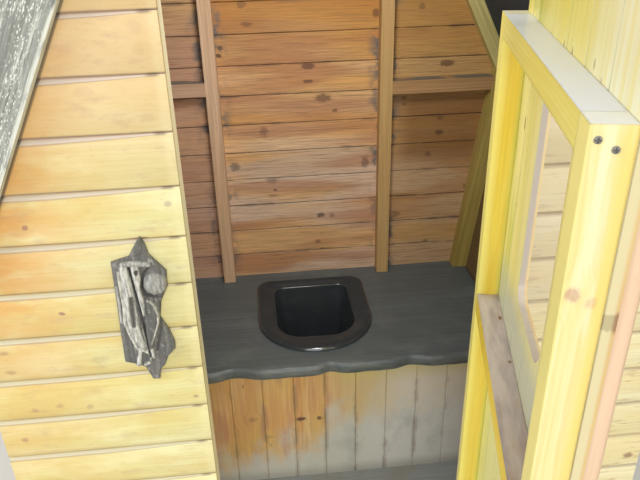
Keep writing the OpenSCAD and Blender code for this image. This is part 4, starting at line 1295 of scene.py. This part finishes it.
def near_line(x, z, points):
    """One on a line that widens and narrows from point to point, falling to nothing at its edge."""
    best = 0.0
    for (x0, z0, r0), (x1, z1, r1) in zip(points, points[1:]):
        long = (x1 - x0) ** 2 + (z1 - z0) ** 2
        t = min(1.0, max(0.0, ((x - x0) * (x1 - x0) + (z - z0) * (z1 - z0)) / long))
        away = math.hypot(x - x0 - t * (x1 - x0), z - z0 - t * (z1 - z0)) / (r0 + t * (r1 - r0))
        best = max(best, 1.0 - away * away)
    return math.sqrt(max(best, 0.0))


def plaque_span(z):
    """The plaque's left and right edges at one height."""
    crossed = []
    for (x0, z0), (x1, z1) in zip(plaque_line, plaque_line[1:] + plaque_line[:1]):
        if min(z0, z1) <= z <= max(z0, z1) and z0 != z1:
            crossed.append(x0 + (x1 - x0) * (z - z0) / (z1 - z0))
    return min(crossed), max(crossed)


plaque_points, plaque_marks = [], []
plaque_columns = 64
plaque_foot, plaque_head, knot_r = -145, 147, 21
heights = sorted({round(plaque_foot + 1 + 1.3 * k, 2) for k in range(224)}
                 | {z for _, z in plaque_line if z > plaque_foot})
for z in heights:
    left, right = plaque_span(z)
    for i in range(-1, plaque_columns + 2):
        x = left + (right - left) * min(max(i, 0), plaque_columns) / plaque_columns
        depth, pale, dark = 0.0, 0.0, 0.0
        if 0 <= i <= plaque_columns:
            raised = 0.0
            for high, bleached_and_highlit, dim, points in strokes:
                at = near_line(x, z, points)
                if high * at > raised:
                    raised, pale, dark = high * at, bleached_and_highlit * min(1.0, at * 1.3), dim
            if math.hypot(x - 27, z - 60) < knot_r:
                raised += 0.05 * math.sin(1.9 * math.hypot(x - 30, (z - 55) * 0.8))
            for deep, dim, points in hollows_dark_and_shade:
                at = near_line(x, z, points)
                raised -= deep * at * 0.6
                dark = max(dark, dim * at)
                pale *= 1.0 - at
            border = min(1.0, min(x - left, right - x, plaque_head - z, z - plaque_foot) / 4.0)
            eased = 1.0 - 0.45 * (1.0 - border) ** 2
            depth = plaque_back * eased + plaque_relief * min(1.0, max(-0.25, raised * 0.95)) * border
        plaque_points.append((plaque_x + x / 1000, front_y - depth, plaque_z + z / 1000))
        plaque_marks.append((pale, dark, 0.0))
ring = plaque_columns + 3
caps = [list(range(ring)), [(len(heights) - 1) * ring + i for i in range(ring)]]
plaque_mesh = built("carved_driftwood", plaque_points, bands(0, len(heights) - 1, ring) + caps, 60,
                    {"marks": plaque_marks})
driftwood = Finish("silver_driftwood", upright, across_hut, 0.57, 0.1, -0.4)
driftwood.wood("#8E8C86", "#6C6B67", "#4C4B48", "#2E2C29", streak=0.6, ring=0.25)
driftwood.stain_and_painted_light("#5A5856", 0.6, (60, 110, 110), 0.5, 0.62, 1.0, 4.0, rough=0.9)
driftwood.stain_and_painted_light("#B5B3AA", 0.5, (90, 160, 160), 0.58, 0.68, 4.0, rough=0.9)
marks = driftwood.mark("marks")
bleached_and_highlit, hollow_dark_and_shade = marks[0], marks[1]
patchy = driftwood.patches((50, 260, 260), 0.38, 0.62, 2.4, 4.0) * 0.65 + 0.35
# The crests are pale from bleaching and painted highlights, and the hollows dark, partly as painted shade.
driftwood.cover(bleached_and_highlit * patchy, "#EBEAE0", 0.85)
driftwood.cover(hollow_dark_and_shade * 0.85, "#302F2D", 0.95)
fit(plaque_mesh, driftwood.done(0.75, 0.8, 0.0015), "driftwood_plaque")
